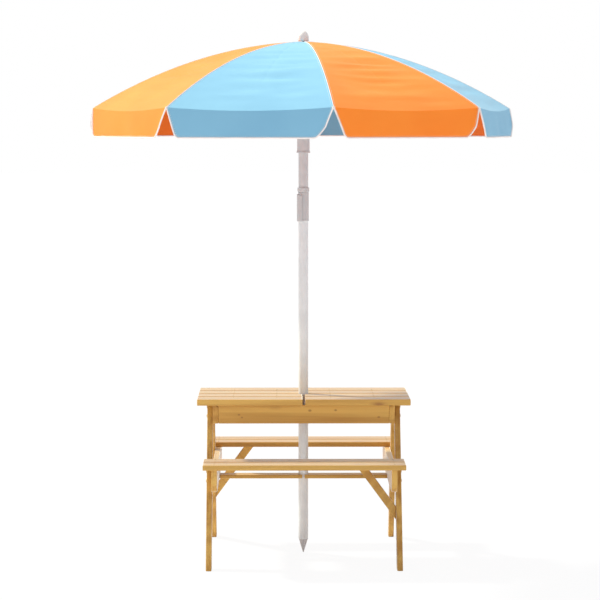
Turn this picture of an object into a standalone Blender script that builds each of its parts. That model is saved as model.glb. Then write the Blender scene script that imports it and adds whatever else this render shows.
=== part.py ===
"""Children's A-frame picnic table with a sandbox under its split top, and a tilting umbrella.

Metres, +Z up. The origin is on the pole's axis, at the floor. X runs along the table, and the
umbrella's ribs are counted from the front (-Y) towards +X.
"""

import math

import bmesh
import bpy
from mathutils import Matrix, Vector

# Clearances and small sizes that many pieces share
SEAT_GAP = 0.0003  # between a piece and the one it rests on
RUN_GAP = 0.0004  # round a piece that slides or turns in another
OVERRUN = 0.004  # how far a cut runs past what it cuts
EDGE = 0.0015  # eased edges of the boards
WELD = 0.00001

# Boards
BOARD = 0.018
TOP_BOARD = 0.020
TOP_Z = 0.529
TOP_LENGTH = 0.690
TOP_SPLIT = 0.009
TOP_SLAT_WIDTH = 0.08225
SLAT_GAP = 0.010
TOP_SLATS = 4
POLE_NOTCH_RADIUS = 0.0185
BATTEN_WIDTH = 0.030
BATTEN_END_GAP = 0.0210  # from a bin's front and rear walls to the battens that hang in it
BATTEN_SIDE_GAP = 0.0300  # from a bin's end walls
BATTEN_EDGE = 0.003

BOX_LENGTH = 0.590
BOX_WIDTH = 0.320
BOX_HEIGHT = 0.060
WELL_WIDTH = 0.044  # between the two dividers, for the pole
REBATE_WIDTH = 0.0065
REBATE_DEPTH = 0.0032

BIN_WALL = 0.0022
BIN_RIM = 0.0058
BIN_DEPTH = 0.0540
BIN_DRAFT = 0.0050  # how far each wall leans in over its depth
BIN_SIDE_GAP = 0.0007
BIN_CORNER = 0.014
BIN_RIM_CORNER = 0.004
BIN_CORNER_STEPS = 4

LEG_WIDTH = 0.055  # level across the slanted board
LEG_FOOT_REACH = 0.350
LEG_TOP_REACH = 0.1145

SEAT_BOARD = 0.0165
SEAT_TOP_Z = 0.340
SEAT_LENGTH = 0.644
SEAT_SLAT_WIDTH = 0.0725
SEAT_INNER = 0.207
SEAT_SLATS = 2

BEARER_HEIGHT = 0.0755
BEARER_REACH = 0.350
BEARER_ROUND = 0.040
BEARER_ROUND_STEPS = 6
STRETCHER_WIDTH = 0.050
STRETCHER_BOARD = 0.012
STRETCHER_RISE = 0.002  # from the bearers' foot

BRACE_WIDTH = 0.025
BRACE_FOOT_Z = 0.1485
BRACE_LEAN = math.radians(36.3)
BRACE_INSET = 0.023  # from the seat's inner edge to the brace

# Poles and turned pieces
POLE_RADIUS = 0.016
POLE_WALL = 0.0012
POLE_STEPS = 32
SPIKE_LENGTH = 0.045
SPIKE_RADIUS = 0.0150
SPIKE_TIP_RADIUS = 0.0012
PLUG_LENGTH = 0.030

# Tilt joint
SOCKET_FOOT_Z = 1.099
SOCKET_RADIUS = 0.0178
SOCKET_LIP = 0.0008
SOCKET_LIP_HEIGHT = 0.004
SOCKET_CUP = 0.012
TILT_PIVOT_X = -0.008
TILT_PIVOT_RISE = 0.085  # above the socket's foot
KNUCKLE_RADIUS = 0.0085
KNUCKLE_GAP = 0.0005
TONGUE_WIDTH = 0.0060
SLOT_MOUTH_DROP = 0.003  # under the pivot, where the slot opens to the left
TILT_PIN_REACH = 0.0150
TILT_PIN_RADIUS = 0.003
HEAD_HEIGHT = 0.015
HEAD_FLOOR = 0.004
HEAD_RADIUS = 0.0195
HEAD_CHAMFER = 0.0025
KNUCKLE_STEPS = 10

LEVER_FACING = math.radians(222)
LEVER_SPAN = math.radians(74)
LEVER_THICKNESS = 0.0024
LEVER_TOP_DROP = 0.0012  # under the tilt pivot
LEVER_LENGTH = 0.0855
LEVER_ARC_STEPS = 8
LEVER_PIVOT_RADIUS = 0.0019
LEVER_BARREL = 0.010
LEVER_LUG = 0.0030
LEVER_LUG_REACH = 0.0028
LEVER_LUG_RISE = 0.0010  # from the blade's top edge up to the lugs

# Crown, runner, ribs and stretchers
RIBS = 8
RIB_FIRST = math.radians(7)
POLE_TOP_Z = 1.640
CROWN_COLLAR_HEIGHT = 0.012
CROWN_COLLAR_RADIUS = 0.0172
CROWN_DISC_HEIGHT = 0.024
CROWN_DISC_RIM = 0.005  # from the rib's pivot out to the disc's edge
CROWN_SLOT_DEPTH = 0.0135  # from the disc's edge inwards
CROWN_SLOT_ROOF = 0.004
CROWN_NECK_RADIUS = 0.005
CROWN_NECK_HEIGHT = 0.008  # from the disc up to the canopy's apex
RIB_PIVOT_RADIUS = 0.022
RIB_PIVOT_DROP = 0.007  # under the roof of its slot
RIB_ROD_RADIUS = 0.0022
RIB_STUB = 0.003  # beyond the pivot, inwards
RIB_POINTS = 14
RIB_END_SHORT = 0.004  # the rib ends this far inside the canopy's rim
RIB_CLEARANCE = 0.0043  # centre of the rib under the fabric
FINIAL_GAP = 0.0018  # over the canopy's apex
FINIAL_HEIGHT = 0.034
FINIAL_RADIUS = 0.0178
FINIAL_FOOT_RADIUS = 0.0162
FINIAL_FOOT_HEIGHT = 0.003
FINIAL_DOME_HEIGHT = 0.024
FINIAL_STEPS = 7

RUNNER_FOOT_Z = 1.322
RUNNER_FLANGE = 0.0040
RUNNER_FLANGE_RADIUS = 0.0228
RUNNER_RADIUS = 0.0205
RUNNER_HEIGHT = 0.066
RUNNER_DISC_HEIGHT = 0.019
RUNNER_DISC_RIM = 0.004  # from the stretcher's pivot out to the disc's edge
RUNNER_SLOT_DEPTH = 0.015
STRETCHER_PIVOT_RADIUS = 0.027
STRETCHER_PIVOT_RISE = 0.006  # above the floor of its slot
STRETCHER_ROD_RADIUS = 0.0020
STRETCHER_STUB = 0.003
STRETCHER_ARM = 0.105  # from the rib's pivot to the stretcher's, along the rib
RIB_FOLD = math.radians(65)
SLOT_SIDE = 0.0006

CATCH_RADIUS = 0.0045
CATCH_PROUD = 0.0030
CATCH_TRAVEL = 0.0020
CATCH_RISE = 0.025  # above the runner's foot
CATCH_STEPS = 16

# Canopy
CANOPY_RADIUS = 0.688
CANOPY_DROP = 0.2167
CANOPY_STRAIGHT_SHARE = 0.0888  # share of the drop that falls in a straight line
CANOPY_THICKNESS = 0.0010
CANOPY_HOLE = 0.0062
CANOPY_HUB = 0.0165
CANOPY_HUB_STEP = 0.0017  # the blue hub ring lies this far under the orange one
CANOPY_SEAM = 0.0004
CANOPY_SAG = 0.011
CANOPY_BULGE = 0.004
CANOPY_ROWS = 8
CANOPY_COLUMNS = 6
VALANCE_DEPTH = 0.082
VALANCE_FLARE = 0.014
VALANCE_INSET = 0.033
VALANCE_ROUND_SHARE = 0.03  # the lower corners rise by this share of the depth
VALANCE_ROWS = 3

PARTS = "picnic_table_with_sandbox"
CUTTERS = "cutters"


def new_collection(name):
    collection = bpy.data.collections.new(name)
    bpy.context.scene.collection.children.link(collection)
    return collection


def paint(name, colour, roughness, metallic=0.0):
    material = bpy.data.materials.new(name)
    material.use_nodes = True
    shader = material.node_tree.nodes["Principled BSDF"]
    shader.inputs["Base Color"].default_value = (*colour, 1.0)
    shader.inputs["Roughness"].default_value = roughness
    shader.inputs["Metallic"].default_value = metallic
    material.diffuse_color = (*colour, 1.0)
    return material


def empty(name, place, parent=None):
    frame = bpy.data.objects.new(name, None)
    frame.empty_display_size = POLE_RADIUS
    parts.objects.link(frame)
    frame.location = place
    hang(frame, parent)
    return frame


def hang(obj, parent):
    """Parents obj without moving it. The parents here are only shifted, never turned."""
    if parent is None:
        return
    bpy.context.view_layer.update()
    obj.parent = parent
    obj.matrix_parent_inverse = parent.matrix_world.inverted()


def new_object(name, mesh, material, parent=None, place=(0, 0, 0), collection=None):
    obj = bpy.data.objects.new(name, mesh)
    (collection or parts).objects.link(obj)
    if material:
        mesh.materials.append(material)
    obj.location = place
    hang(obj, parent)
    return obj


def ease(obj, width=EDGE, segments=1):
    bevel = obj.modifiers.new("eased_edges", "BEVEL")
    bevel.width = width
    bevel.segments = segments
    bevel.limit_method = "ANGLE"
    bevel.angle_limit = math.radians(30)
    return obj


def block(name, low, high, material, parent=None):
    """A board between two corners, with eased edges."""
    low = Vector(low)
    size = Vector(high) - low
    bm = bmesh.new()
    bmesh.ops.create_cube(bm, size=1)
    bmesh.ops.scale(bm, vec=size, verts=bm.verts)
    mesh = bpy.data.meshes.new(name)
    bm.to_mesh(mesh)
    bm.free()
    return ease(new_object(name, mesh, material, parent, low + size / 2))


def plate(name, outline, thickness, along, middle, material, parent=None):
    """A flat outline with a thickness along X or Y, centred there on middle.

    The outline's points are (y, z) for a plate along X, and (x, z) for one along Y.
    """
    curve = bpy.data.curves.new(name, "CURVE")
    curve.dimensions = "2D"
    curve.fill_mode = "BOTH"
    curve.extrude = thickness / 2
    spline = curve.splines.new("POLY")
    spline.points.add(len(outline) - 1)
    for point, (across, up) in zip(spline.points, outline):
        point.co = (across, up, 0, 1)
    spline.use_cyclic_u = True
    drawing = bpy.data.objects.new(name + "_outline", curve)
    parts.objects.link(drawing)
    graph = bpy.context.evaluated_depsgraph_get()
    mesh = bpy.data.meshes.new_from_object(drawing.evaluated_get(graph))
    bpy.data.objects.remove(drawing)
    mesh.name = name
    if along == "X":
        turn = Matrix(((0, 0, 1, middle), (1, 0, 0, 0), (0, 1, 0, 0), (0, 0, 0, 1)))
    else:
        turn = Matrix(((1, 0, 0, 0), (0, 0, -1, middle), (0, 1, 0, 0), (0, 0, 0, 1)))
    bm = bmesh.new()
    bm.from_mesh(mesh)
    bmesh.ops.remove_doubles(bm, verts=bm.verts, dist=WELD)
    bmesh.ops.dissolve_limit(bm, angle_limit=math.radians(1), verts=bm.verts, edges=bm.edges)
    bmesh.ops.transform(bm, matrix=turn, verts=bm.verts)
    centre = sum((v.co for v in bm.verts), Vector()) / len(bm.verts)
    bmesh.ops.translate(bm, vec=-centre, verts=bm.verts)
    bmesh.ops.recalc_face_normals(bm, faces=bm.faces)
    bm.to_mesh(mesh)
    bm.free()
    return ease(new_object(name, mesh, material, parent, centre))


def mirrored(outline):
    return [(-across, up) for across, up in reversed(outline)]


def turned(name, profile, material, parent=None, closed=False, steps=POLE_STEPS):
    """A solid of revolution. The profile's points are (radius, z) and run down the outer side."""
    foot = min(z for _, z in profile)
    bm = bmesh.new()
    verts = [bm.verts.new((radius, 0, z - foot)) for radius, z in profile]
    for first, second in zip(verts, verts[1:]):
        bm.edges.new((first, second))
    if closed:
        bm.edges.new((verts[-1], verts[0]))
    mesh = bpy.data.meshes.new(name)
    bm.to_mesh(mesh)
    bm.free()
    obj = new_object(name, mesh, material, parent, (0, 0, foot))
    screw = obj.modifiers.new("turned", "SCREW")
    screw.steps = steps
    screw.render_steps = steps
    screw.use_merge_vertices = True
    screw.merge_threshold = WELD
    screw.use_smooth_shade = True
    return obj


def cutter(name, bm, place=(0, 0, 0)):
    mesh = bpy.data.meshes.new(name)
    bmesh.ops.recalc_face_normals(bm, faces=bm.faces)
    bm.to_mesh(mesh)
    bm.free()
    obj = new_object(name, mesh, None, place=place, collection=cutters)
    obj.hide_render = True
    obj.display_type = "WIRE"
    return obj


def combine(obj, other, operation="DIFFERENCE"):
    boolean = obj.modifiers.new(other.name, "BOOLEAN")
    boolean.operation = operation
    boolean.object = other
    boolean.solver = "EXACT"


def add_box(bm, low, high, turn=None):
    low = Vector(low)
    size = Vector(high) - low
    made = bmesh.ops.create_cube(bm, size=1)["verts"]
    bmesh.ops.scale(bm, vec=size, verts=made)
    bmesh.ops.translate(bm, vec=low + size / 2, verts=made)
    if turn:
        bmesh.ops.transform(bm, matrix=turn, verts=made)


def add_rod(bm, radius, start, end, steps):
    """A closed cylinder between two points."""
    start = Vector(start)
    span = Vector(end) - start
    turn = span.to_track_quat("Z", "Y").to_matrix().to_4x4()
    bmesh.ops.create_cone(
        bm,
        cap_ends=True,
        segments=steps,
        radius1=radius,
        radius2=radius,
        depth=span.length,
        matrix=Matrix.Translation(start + span / 2) @ turn,
    )


def rod_curve(name, points, radius, material, parent, place):
    """A rod along points that are given from its pivot."""
    curve = bpy.data.curves.new(name, "CURVE")
    curve.dimensions = "3D"
    curve.bevel_depth = radius
    curve.bevel_resolution = 1
    curve.use_fill_caps = True
    spline = curve.splines.new("POLY")
    spline.points.add(len(points) - 1)
    for point, where in zip(spline.points, points):
        point.co = (*where, 1)
    curve.materials.append(material)
    obj = bpy.data.objects.new(name, curve)
    parts.objects.link(obj)
    obj.location = place
    hang(obj, parent)
    return obj


def facing(angle, radius=1.0):
    """The point at a radius, with the angle counted from the front (-Y) towards +X."""
    return Vector((math.sin(angle) * radius, -math.cos(angle) * radius, 0))


def around(angle):
    """Turns +X to point at the angle that facing() uses."""
    return Matrix.Rotation(angle - math.pi / 2, 4, "Z")


# Table

TOP_UNDER = TOP_Z - TOP_BOARD
BOX_TOP = TOP_UNDER - SEAT_GAP
BOX_FOOT = BOX_TOP - BOX_HEIGHT
SEAT_UNDER = SEAT_TOP_Z - SEAT_BOARD
BEARER_TOP = SEAT_UNDER - SEAT_GAP
BEARER_FOOT = BEARER_TOP - BEARER_HEIGHT
FRAME_HALF = BOX_LENGTH / 2  # outer face of the bearers and of the box's end boards
INNER_HALF = FRAME_HALF - BOARD  # their inner face
BIN_SIDE = BIN_SIDE_GAP + BIN_WALL
BIN_NEAR = WELL_WIDTH / 2 + BOARD + BIN_SIDE  # inner face of a bin's wall next to the pole
BIN_FAR = INNER_HALF - BIN_SIDE
BIN_HALF_WIDTH = BOX_WIDTH / 2 - BOARD - BIN_SIDE


def leg_reach(z):
    """How far the leg's outer edge stands from the middle at a height."""
    return LEG_FOOT_REACH - (LEG_FOOT_REACH - LEG_TOP_REACH) * z / TOP_UNDER


def build_legs():
    top = TOP_UNDER - SEAT_GAP
    middle = FRAME_HALF + SEAT_GAP + BOARD / 2
    rear = [
        (leg_reach(0) - LEG_WIDTH, 0),
        (leg_reach(0), 0),
        (leg_reach(top), top),
        (leg_reach(top) - LEG_WIDTH, top),
    ]
    for depth, outline in (("front", mirrored(rear)), ("rear", rear)):
        for side, sign in (("left", -1), ("right", 1)):
            plate(f"leg_{depth}_{side}", outline, BOARD, "X", sign * middle, pine)


def bearer_outline():
    """A straight board with both lower ends rounded."""
    points = [(-BEARER_REACH, BEARER_TOP)]
    centre_z = BEARER_FOOT + BEARER_ROUND
    for corner, start in ((-1, math.pi), (1, 1.5 * math.pi)):
        centre_y = corner * (BEARER_REACH - BEARER_ROUND)
        for step in range(BEARER_ROUND_STEPS + 1):
            angle = start + math.pi / 2 * step / BEARER_ROUND_STEPS
            across = centre_y + BEARER_ROUND * math.cos(angle)
            points.append((across, centre_z + BEARER_ROUND * math.sin(angle)))
    points.append((BEARER_REACH, BEARER_TOP))
    return points


def build_bearers():
    outline = bearer_outline()
    middle = FRAME_HALF - BOARD / 2
    plate("bearer_left", outline, BOARD, "X", -middle, pine)
    plate("bearer_right", outline, BOARD, "X", middle, pine)


def build_centre_stretcher():
    """Board with the pole's hole, and a saw cut from its front edge into the hole."""
    half = INNER_HALF - SEAT_GAP
    foot = BEARER_FOOT + STRETCHER_RISE
    top = foot + STRETCHER_BOARD
    low = (-half, -STRETCHER_WIDTH / 2, foot)
    board = block("centre_stretcher", low, (half, STRETCHER_WIDTH / 2, top), pine)
    bm = bmesh.new()
    hole = POLE_RADIUS + RUN_GAP
    add_rod(bm, hole, (0, 0, foot - OVERRUN), (0, 0, top + OVERRUN), POLE_STEPS)
    combine(board, cutter("pole_hole", bm))
    bm = bmesh.new()
    near = -STRETCHER_WIDTH / 2 - OVERRUN
    add_box(bm, (-TOP_SPLIT / 2, near, foot - OVERRUN), (TOP_SPLIT / 2, 0, top + OVERRUN))
    combine(board, cutter("saw_cut", bm))


def build_braces():
    top = BEARER_TOP
    foot_x = FRAME_HALF
    level = BRACE_WIDTH / math.cos(BRACE_LEAN)  # across the brace, measured level
    upright = BRACE_WIDTH / math.sin(BRACE_LEAN)  # across the brace, measured upright
    run = (top - BRACE_FOOT_Z - upright) * math.tan(BRACE_LEAN)
    top_x = foot_x - run
    outline = [
        (foot_x, BRACE_FOOT_Z),
        (foot_x, BRACE_FOOT_Z + upright),
        (top_x, top),
        (top_x - level, top),
    ]
    middle = SEAT_INNER + BRACE_INSET + BOARD / 2
    plate("brace_front_right", outline, BOARD, "Y", -middle, pine)
    plate("brace_rear_left", mirrored(outline), BOARD, "Y", middle, pine)


def rebated(inner, outer):
    """Section of a box board from its inner to its outer face, with a rebate along its top inner edge."""
    step = REBATE_WIDTH if outer > inner else -REBATE_WIDTH
    return [
        (inner, BOX_FOOT),
        (outer, BOX_FOOT),
        (outer, BOX_TOP),
        (inner + step, BOX_TOP),
        (inner + step, BOX_TOP - REBATE_DEPTH),
        (inner, BOX_TOP - REBATE_DEPTH),
    ]


def build_sandbox():
    long_side = 2 * (INNER_HALF - SEAT_GAP)
    short_side = BOX_WIDTH - 2 * BOARD - 2 * SEAT_GAP
    outer = BOX_WIDTH / 2
    well = WELL_WIDTH / 2
    plate("sandbox_front", rebated(BOARD - outer, -outer), long_side, "X", 0, pine)
    plate("sandbox_rear", rebated(outer - BOARD, outer), long_side, "X", 0, pine)
    plate("sandbox_end_left", rebated(-INNER_HALF, -FRAME_HALF), BOX_WIDTH, "Y", 0, pine)
    plate("sandbox_end_right", rebated(INNER_HALF, FRAME_HALF), BOX_WIDTH, "Y", 0, pine)
    plate("well_divider_left", rebated(-well - BOARD, -well), short_side, "Y", 0, pine)
    plate("well_divider_right", rebated(well + BOARD, well), short_side, "Y", 0, pine)


def rounded_rectangle(low, high, corner, z):
    """Points round a rectangle with round corners, counted against the clock from above."""
    points = []
    corners = ((high[0], high[1]), (low[0], high[1]), (low[0], low[1]), (high[0], low[1]))
    for index, (across, deep) in enumerate(corners):
        centre_x = across - corner if across == high[0] else across + corner
        centre_y = deep - corner if deep == high[1] else deep + corner
        for step in range(BIN_CORNER_STEPS + 1):
            angle = math.pi / 2 * (index + step / BIN_CORNER_STEPS)
            points.append((centre_x + corner * math.cos(angle), centre_y + corner * math.sin(angle), z))
    return points


def build_bin(name, sign, parent):
    """An open tub with drafted walls and a rim that lies in the rebates."""
    low_x, high_x = sorted((sign * BIN_NEAR, sign * BIN_FAR))
    deep = BIN_HALF_WIDTH
    floor_z = BOX_TOP - BIN_DEPTH
    loops = (
        (-BIN_RIM - BIN_WALL, BIN_RIM_CORNER, BOX_TOP),
        (0, BIN_CORNER, BOX_TOP),
        (BIN_DRAFT, BIN_CORNER, floor_z),
    )
    bm = bmesh.new()
    rings = []
    for inset, corner, z in loops:
        low = (low_x + inset, inset - deep)
        high = (high_x - inset, deep - inset)
        rings.append([bm.verts.new(point) for point in rounded_rectangle(low, high, corner, z)])
    for upper, lower in zip(rings, rings[1:]):
        for index in range(len(upper)):
            after = (index + 1) % len(upper)
            bm.faces.new((upper[index], upper[after], lower[after], lower[index]))
    bm.faces.new(rings[-1])
    mesh = bpy.data.meshes.new(name)
    bm.to_mesh(mesh)
    bm.free()
    tub = new_object(name, mesh, sand_plastic, parent)
    shell = tub.modifiers.new("wall", "SOLIDIFY")
    shell.thickness = BIN_WALL
    shell.offset = -1
    shell.use_even_offset = True
    return tub


def build_top(side, sign, parent):
    """One half of the top: slats with their ends notched for the pole, on two battens."""
    start = TOP_SPLIT / 2
    end = TOP_LENGTH / 2
    pitch = TOP_SLAT_WIDTH + SLAT_GAP
    first = -(TOP_SLATS * pitch - SLAT_GAP) / 2
    low_x, high_x = sorted((sign * start, sign * end))
    bm = bmesh.new()
    add_rod(bm, POLE_NOTCH_RADIUS, (0, 0, TOP_UNDER - OVERRUN), (0, 0, TOP_Z + OVERRUN), POLE_STEPS)
    notch = cutter(f"pole_notch_{side}", bm)
    for index in range(TOP_SLATS):
        near = first + index * pitch
        far = near + TOP_SLAT_WIDTH
        low = (low_x, near, TOP_UNDER)
        high = (high_x, far, TOP_Z)
        slat = block(f"top_slat_{side}_{index + 1}", low, high, pine, parent)
        if min(abs(near), abs(far)) < POLE_NOTCH_RADIUS:
            combine(slat, notch)
    top = TOP_UNDER - SEAT_GAP
    reach = BIN_HALF_WIDTH - BATTEN_END_GAP
    inner = BIN_NEAR + BATTEN_SIDE_GAP
    outer = BIN_FAR - BATTEN_SIDE_GAP - BATTEN_WIDTH
    for name, place in (("inner", inner), ("outer", outer)):
        left, right = sorted((sign * place, sign * (place + BATTEN_WIDTH)))
        low = (left, -reach, top - BOARD)
        high = (right, reach, top)
        batten = block(f"top_batten_{side}_{name}", low, high, pine, parent)
        batten.modifiers["eased_edges"].width = BATTEN_EDGE


def build_seats():
    half = SEAT_LENGTH / 2
    for depth, sign in (("front", -1), ("rear", 1)):
        for index in range(SEAT_SLATS):
            near = SEAT_INNER + index * (SEAT_SLAT_WIDTH + SLAT_GAP)
            low_y, high_y = sorted((sign * near, sign * (near + SEAT_SLAT_WIDTH)))
            low = (-half, low_y, SEAT_UNDER)
            high = (half, high_y, SEAT_TOP_Z)
            block(f"seat_slat_{depth}_{index + 1}", low, high, pine)


# Umbrella

BORE = POLE_RADIUS - POLE_WALL
PLUG_RADIUS = BORE - SEAT_GAP
SOCKET_BORE = POLE_RADIUS + SEAT_GAP
LOWER_POLE_TOP = SOCKET_FOOT_Z + SOCKET_CUP
TILT_PIVOT_Z = SOCKET_FOOT_Z + TILT_PIVOT_RISE
LEVER_TOP_Z = TILT_PIVOT_Z - LEVER_TOP_DROP
HEAD_FOOT_Z = TILT_PIVOT_Z + KNUCKLE_RADIUS + KNUCKLE_GAP
HEAD_TOP_Z = HEAD_FOOT_Z + HEAD_HEIGHT
EAR_TOP_Z = HEAD_FOOT_Z - KNUCKLE_GAP
UPPER_POLE_FOOT = HEAD_FOOT_Z + HEAD_FLOOR + SEAT_GAP
CROWN_DISC_Z = POLE_TOP_Z + CROWN_COLLAR_HEIGHT
CROWN_DISC_TOP_Z = CROWN_DISC_Z + CROWN_DISC_HEIGHT
CROWN_DISC_RADIUS = RIB_PIVOT_RADIUS + CROWN_DISC_RIM
CROWN_SLOT_ROOF_Z = CROWN_DISC_TOP_Z - CROWN_SLOT_ROOF
RIB_PIVOT_Z = CROWN_SLOT_ROOF_Z - RIB_PIVOT_DROP
CANOPY_APEX_Z = CROWN_DISC_TOP_Z + CROWN_NECK_HEIGHT
FINIAL_FOOT_Z = CANOPY_APEX_Z + FINIAL_GAP
RUNNER_TOP_Z = RUNNER_FOOT_Z + RUNNER_HEIGHT
RUNNER_DISC_Z = RUNNER_TOP_Z - RUNNER_DISC_HEIGHT
RUNNER_DISC_RADIUS = STRETCHER_PIVOT_RADIUS + RUNNER_DISC_RIM
RUNNER_SLOT_FLOOR_Z = RUNNER_TOP_Z - RUNNER_SLOT_DEPTH
STRETCHER_PIVOT_Z = RUNNER_SLOT_FLOOR_Z + STRETCHER_PIVOT_RISE
CATCH_Z = RUNNER_FOOT_Z + CATCH_RISE


def tube(name, foot, top, parent):
    profile = [(POLE_RADIUS, top), (POLE_RADIUS, foot), (BORE, foot), (BORE, top)]
    return turned(name, profile, white_paint, parent, closed=True)


def build_lower_pole(parent):
    spike = [
        (0, SPIKE_LENGTH + PLUG_LENGTH),
        (PLUG_RADIUS, SPIKE_LENGTH + PLUG_LENGTH),
        (PLUG_RADIUS, SPIKE_LENGTH),
        (SPIKE_RADIUS, SPIKE_LENGTH),
        (SPIKE_TIP_RADIUS, 0),
        (0, 0),
    ]
    turned("ground_spike", spike, white_plastic, parent)
    tube("lower_pole", SPIKE_LENGTH + SEAT_GAP, LOWER_POLE_TOP, parent)


def prism(name, outline, half):
    """A cutter with its outline's points in X and Z, that reaches half to the front and to the rear."""
    bm = bmesh.new()
    face = bm.faces.new([bm.verts.new((across, -half, z)) for across, z in outline])
    swept = bmesh.ops.extrude_face_region(bm, geom=[face])["geom"]
    moved = [item for item in swept if isinstance(item, bmesh.types.BMVert)]
    bmesh.ops.translate(bm, vec=(0, 2 * half, 0), verts=moved)
    return cutter(name, bm)


def build_tilt_socket(parent):
    """Cup over the lower pole, round over the tilt pin on its left, with a slot for the head's tongue."""
    lip_top = SOCKET_FOOT_Z + SOCKET_LIP_HEIGHT
    profile = [
        (0, EAR_TOP_Z),
        (SOCKET_RADIUS, EAR_TOP_Z),
        (SOCKET_RADIUS, lip_top),
        (SOCKET_RADIUS + SOCKET_LIP, lip_top),
        (SOCKET_RADIUS + SOCKET_LIP, SOCKET_FOOT_Z),
        (SOCKET_BORE, SOCKET_FOOT_Z),
        (SOCKET_BORE, LOWER_POLE_TOP + SEAT_GAP),
        (0, LOWER_POLE_TOP + SEAT_GAP),
    ]
    socket = turned("tilt_socket", profile, white_plastic, parent)
    wide = SOCKET_RADIUS + OVERRUN
    above = EAR_TOP_Z + OVERRUN
    cleared = [(-wide, TILT_PIVOT_Z)]
    for step in range(KNUCKLE_STEPS + 1):
        angle = math.pi * (1 - step / KNUCKLE_STEPS / 2)
        across = TILT_PIVOT_X + KNUCKLE_RADIUS * math.cos(angle)
        cleared.append((across, TILT_PIVOT_Z + KNUCKLE_RADIUS * math.sin(angle)))
    cleared += [(TILT_PIVOT_X, above), (-wide, above)]
    combine(socket, prism("tilt_clearance", cleared, wide))
    pocket = KNUCKLE_RADIUS + KNUCKLE_GAP
    mouth = TILT_PIVOT_Z - SLOT_MOUTH_DROP
    slot = [
        (TILT_PIVOT_X - pocket, TILT_PIVOT_Z - pocket),
        (TILT_PIVOT_X + pocket, TILT_PIVOT_Z - pocket),
        (TILT_PIVOT_X + pocket, above),
        (-wide, above),
        (-wide, mouth),
        (TILT_PIVOT_X - pocket, mouth),
    ]
    combine(socket, prism("tongue_slot", slot, TONGUE_WIDTH / 2 + RUN_GAP))
    bm = bmesh.new()
    pin_end = Vector((0, TILT_PIN_REACH, 0))
    centre = Vector((TILT_PIVOT_X, 0, TILT_PIVOT_Z))
    add_rod(bm, TILT_PIN_RADIUS, centre - pin_end, centre + pin_end, CATCH_STEPS)
    combine(socket, cutter("tilt_pin", bm), "UNION")
    bm = bmesh.new()
    turn = Matrix.Translation(lever_pivot()) @ Matrix.Rotation(LEVER_FACING, 4, "Z")
    for sign in (-1, 1):
        inner = sign * (LEVER_BARREL / 2 + RUN_GAP)
        outer = inner + sign * LEVER_LUG
        low_y, high_y = sorted((inner, outer))
        low = (-LEVER_LUG_REACH - LEVER_PIVOT_RADIUS, low_y, LEVER_LUG_RISE)
        high = (LEVER_PIVOT_RADIUS, high_y, LEVER_LUG_RISE + LEVER_LUG_REACH)
        add_box(bm, low, high, turn)
    combine(socket, cutter("lever_lugs", bm), "UNION")


def build_tilt_head(parent):
    """Cup that carries the upper pole, with the tongue that turns in the socket's slot."""
    profile = [
        (0, HEAD_FOOT_Z + HEAD_FLOOR),
        (SOCKET_BORE, HEAD_FOOT_Z + HEAD_FLOOR),
        (SOCKET_BORE, HEAD_TOP_Z),
        (HEAD_RADIUS, HEAD_TOP_Z),
        (HEAD_RADIUS, HEAD_FOOT_Z + HEAD_CHAMFER),
        (HEAD_RADIUS - HEAD_CHAMFER, HEAD_FOOT_Z),
        (0, HEAD_FOOT_Z),
    ]
    head = turned("tilt_head", profile, white_plastic, parent)
    root = HEAD_FOOT_Z + HEAD_FLOOR / 2
    outline = [(TILT_PIVOT_X + KNUCKLE_RADIUS, root)]
    for step in range(KNUCKLE_STEPS + 1):
        angle = -math.pi * step / KNUCKLE_STEPS
        across = TILT_PIVOT_X + KNUCKLE_RADIUS * math.cos(angle)
        outline.append((across, TILT_PIVOT_Z + KNUCKLE_RADIUS * math.sin(angle)))
    outline.append((TILT_PIVOT_X - KNUCKLE_RADIUS, root))
    half = TONGUE_WIDTH / 2
    combine(head, prism("tilt_tongue", outline, half), "UNION")
    bm = bmesh.new()
    reach = Vector((0, half + OVERRUN, 0))
    centre = Vector((TILT_PIVOT_X, 0, TILT_PIVOT_Z))
    add_rod(bm, TILT_PIN_RADIUS + RUN_GAP, centre - reach, centre + reach, CATCH_STEPS)
    combine(head, cutter("tilt_pin_hole", bm))


def lever_pivot():
    radius = SOCKET_RADIUS + SOCKET_LIP + RUN_GAP + LEVER_THICKNESS / 2
    place = Vector((math.cos(LEVER_FACING), math.sin(LEVER_FACING), 0)) * radius
    place.z = LEVER_TOP_Z
    return place


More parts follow.
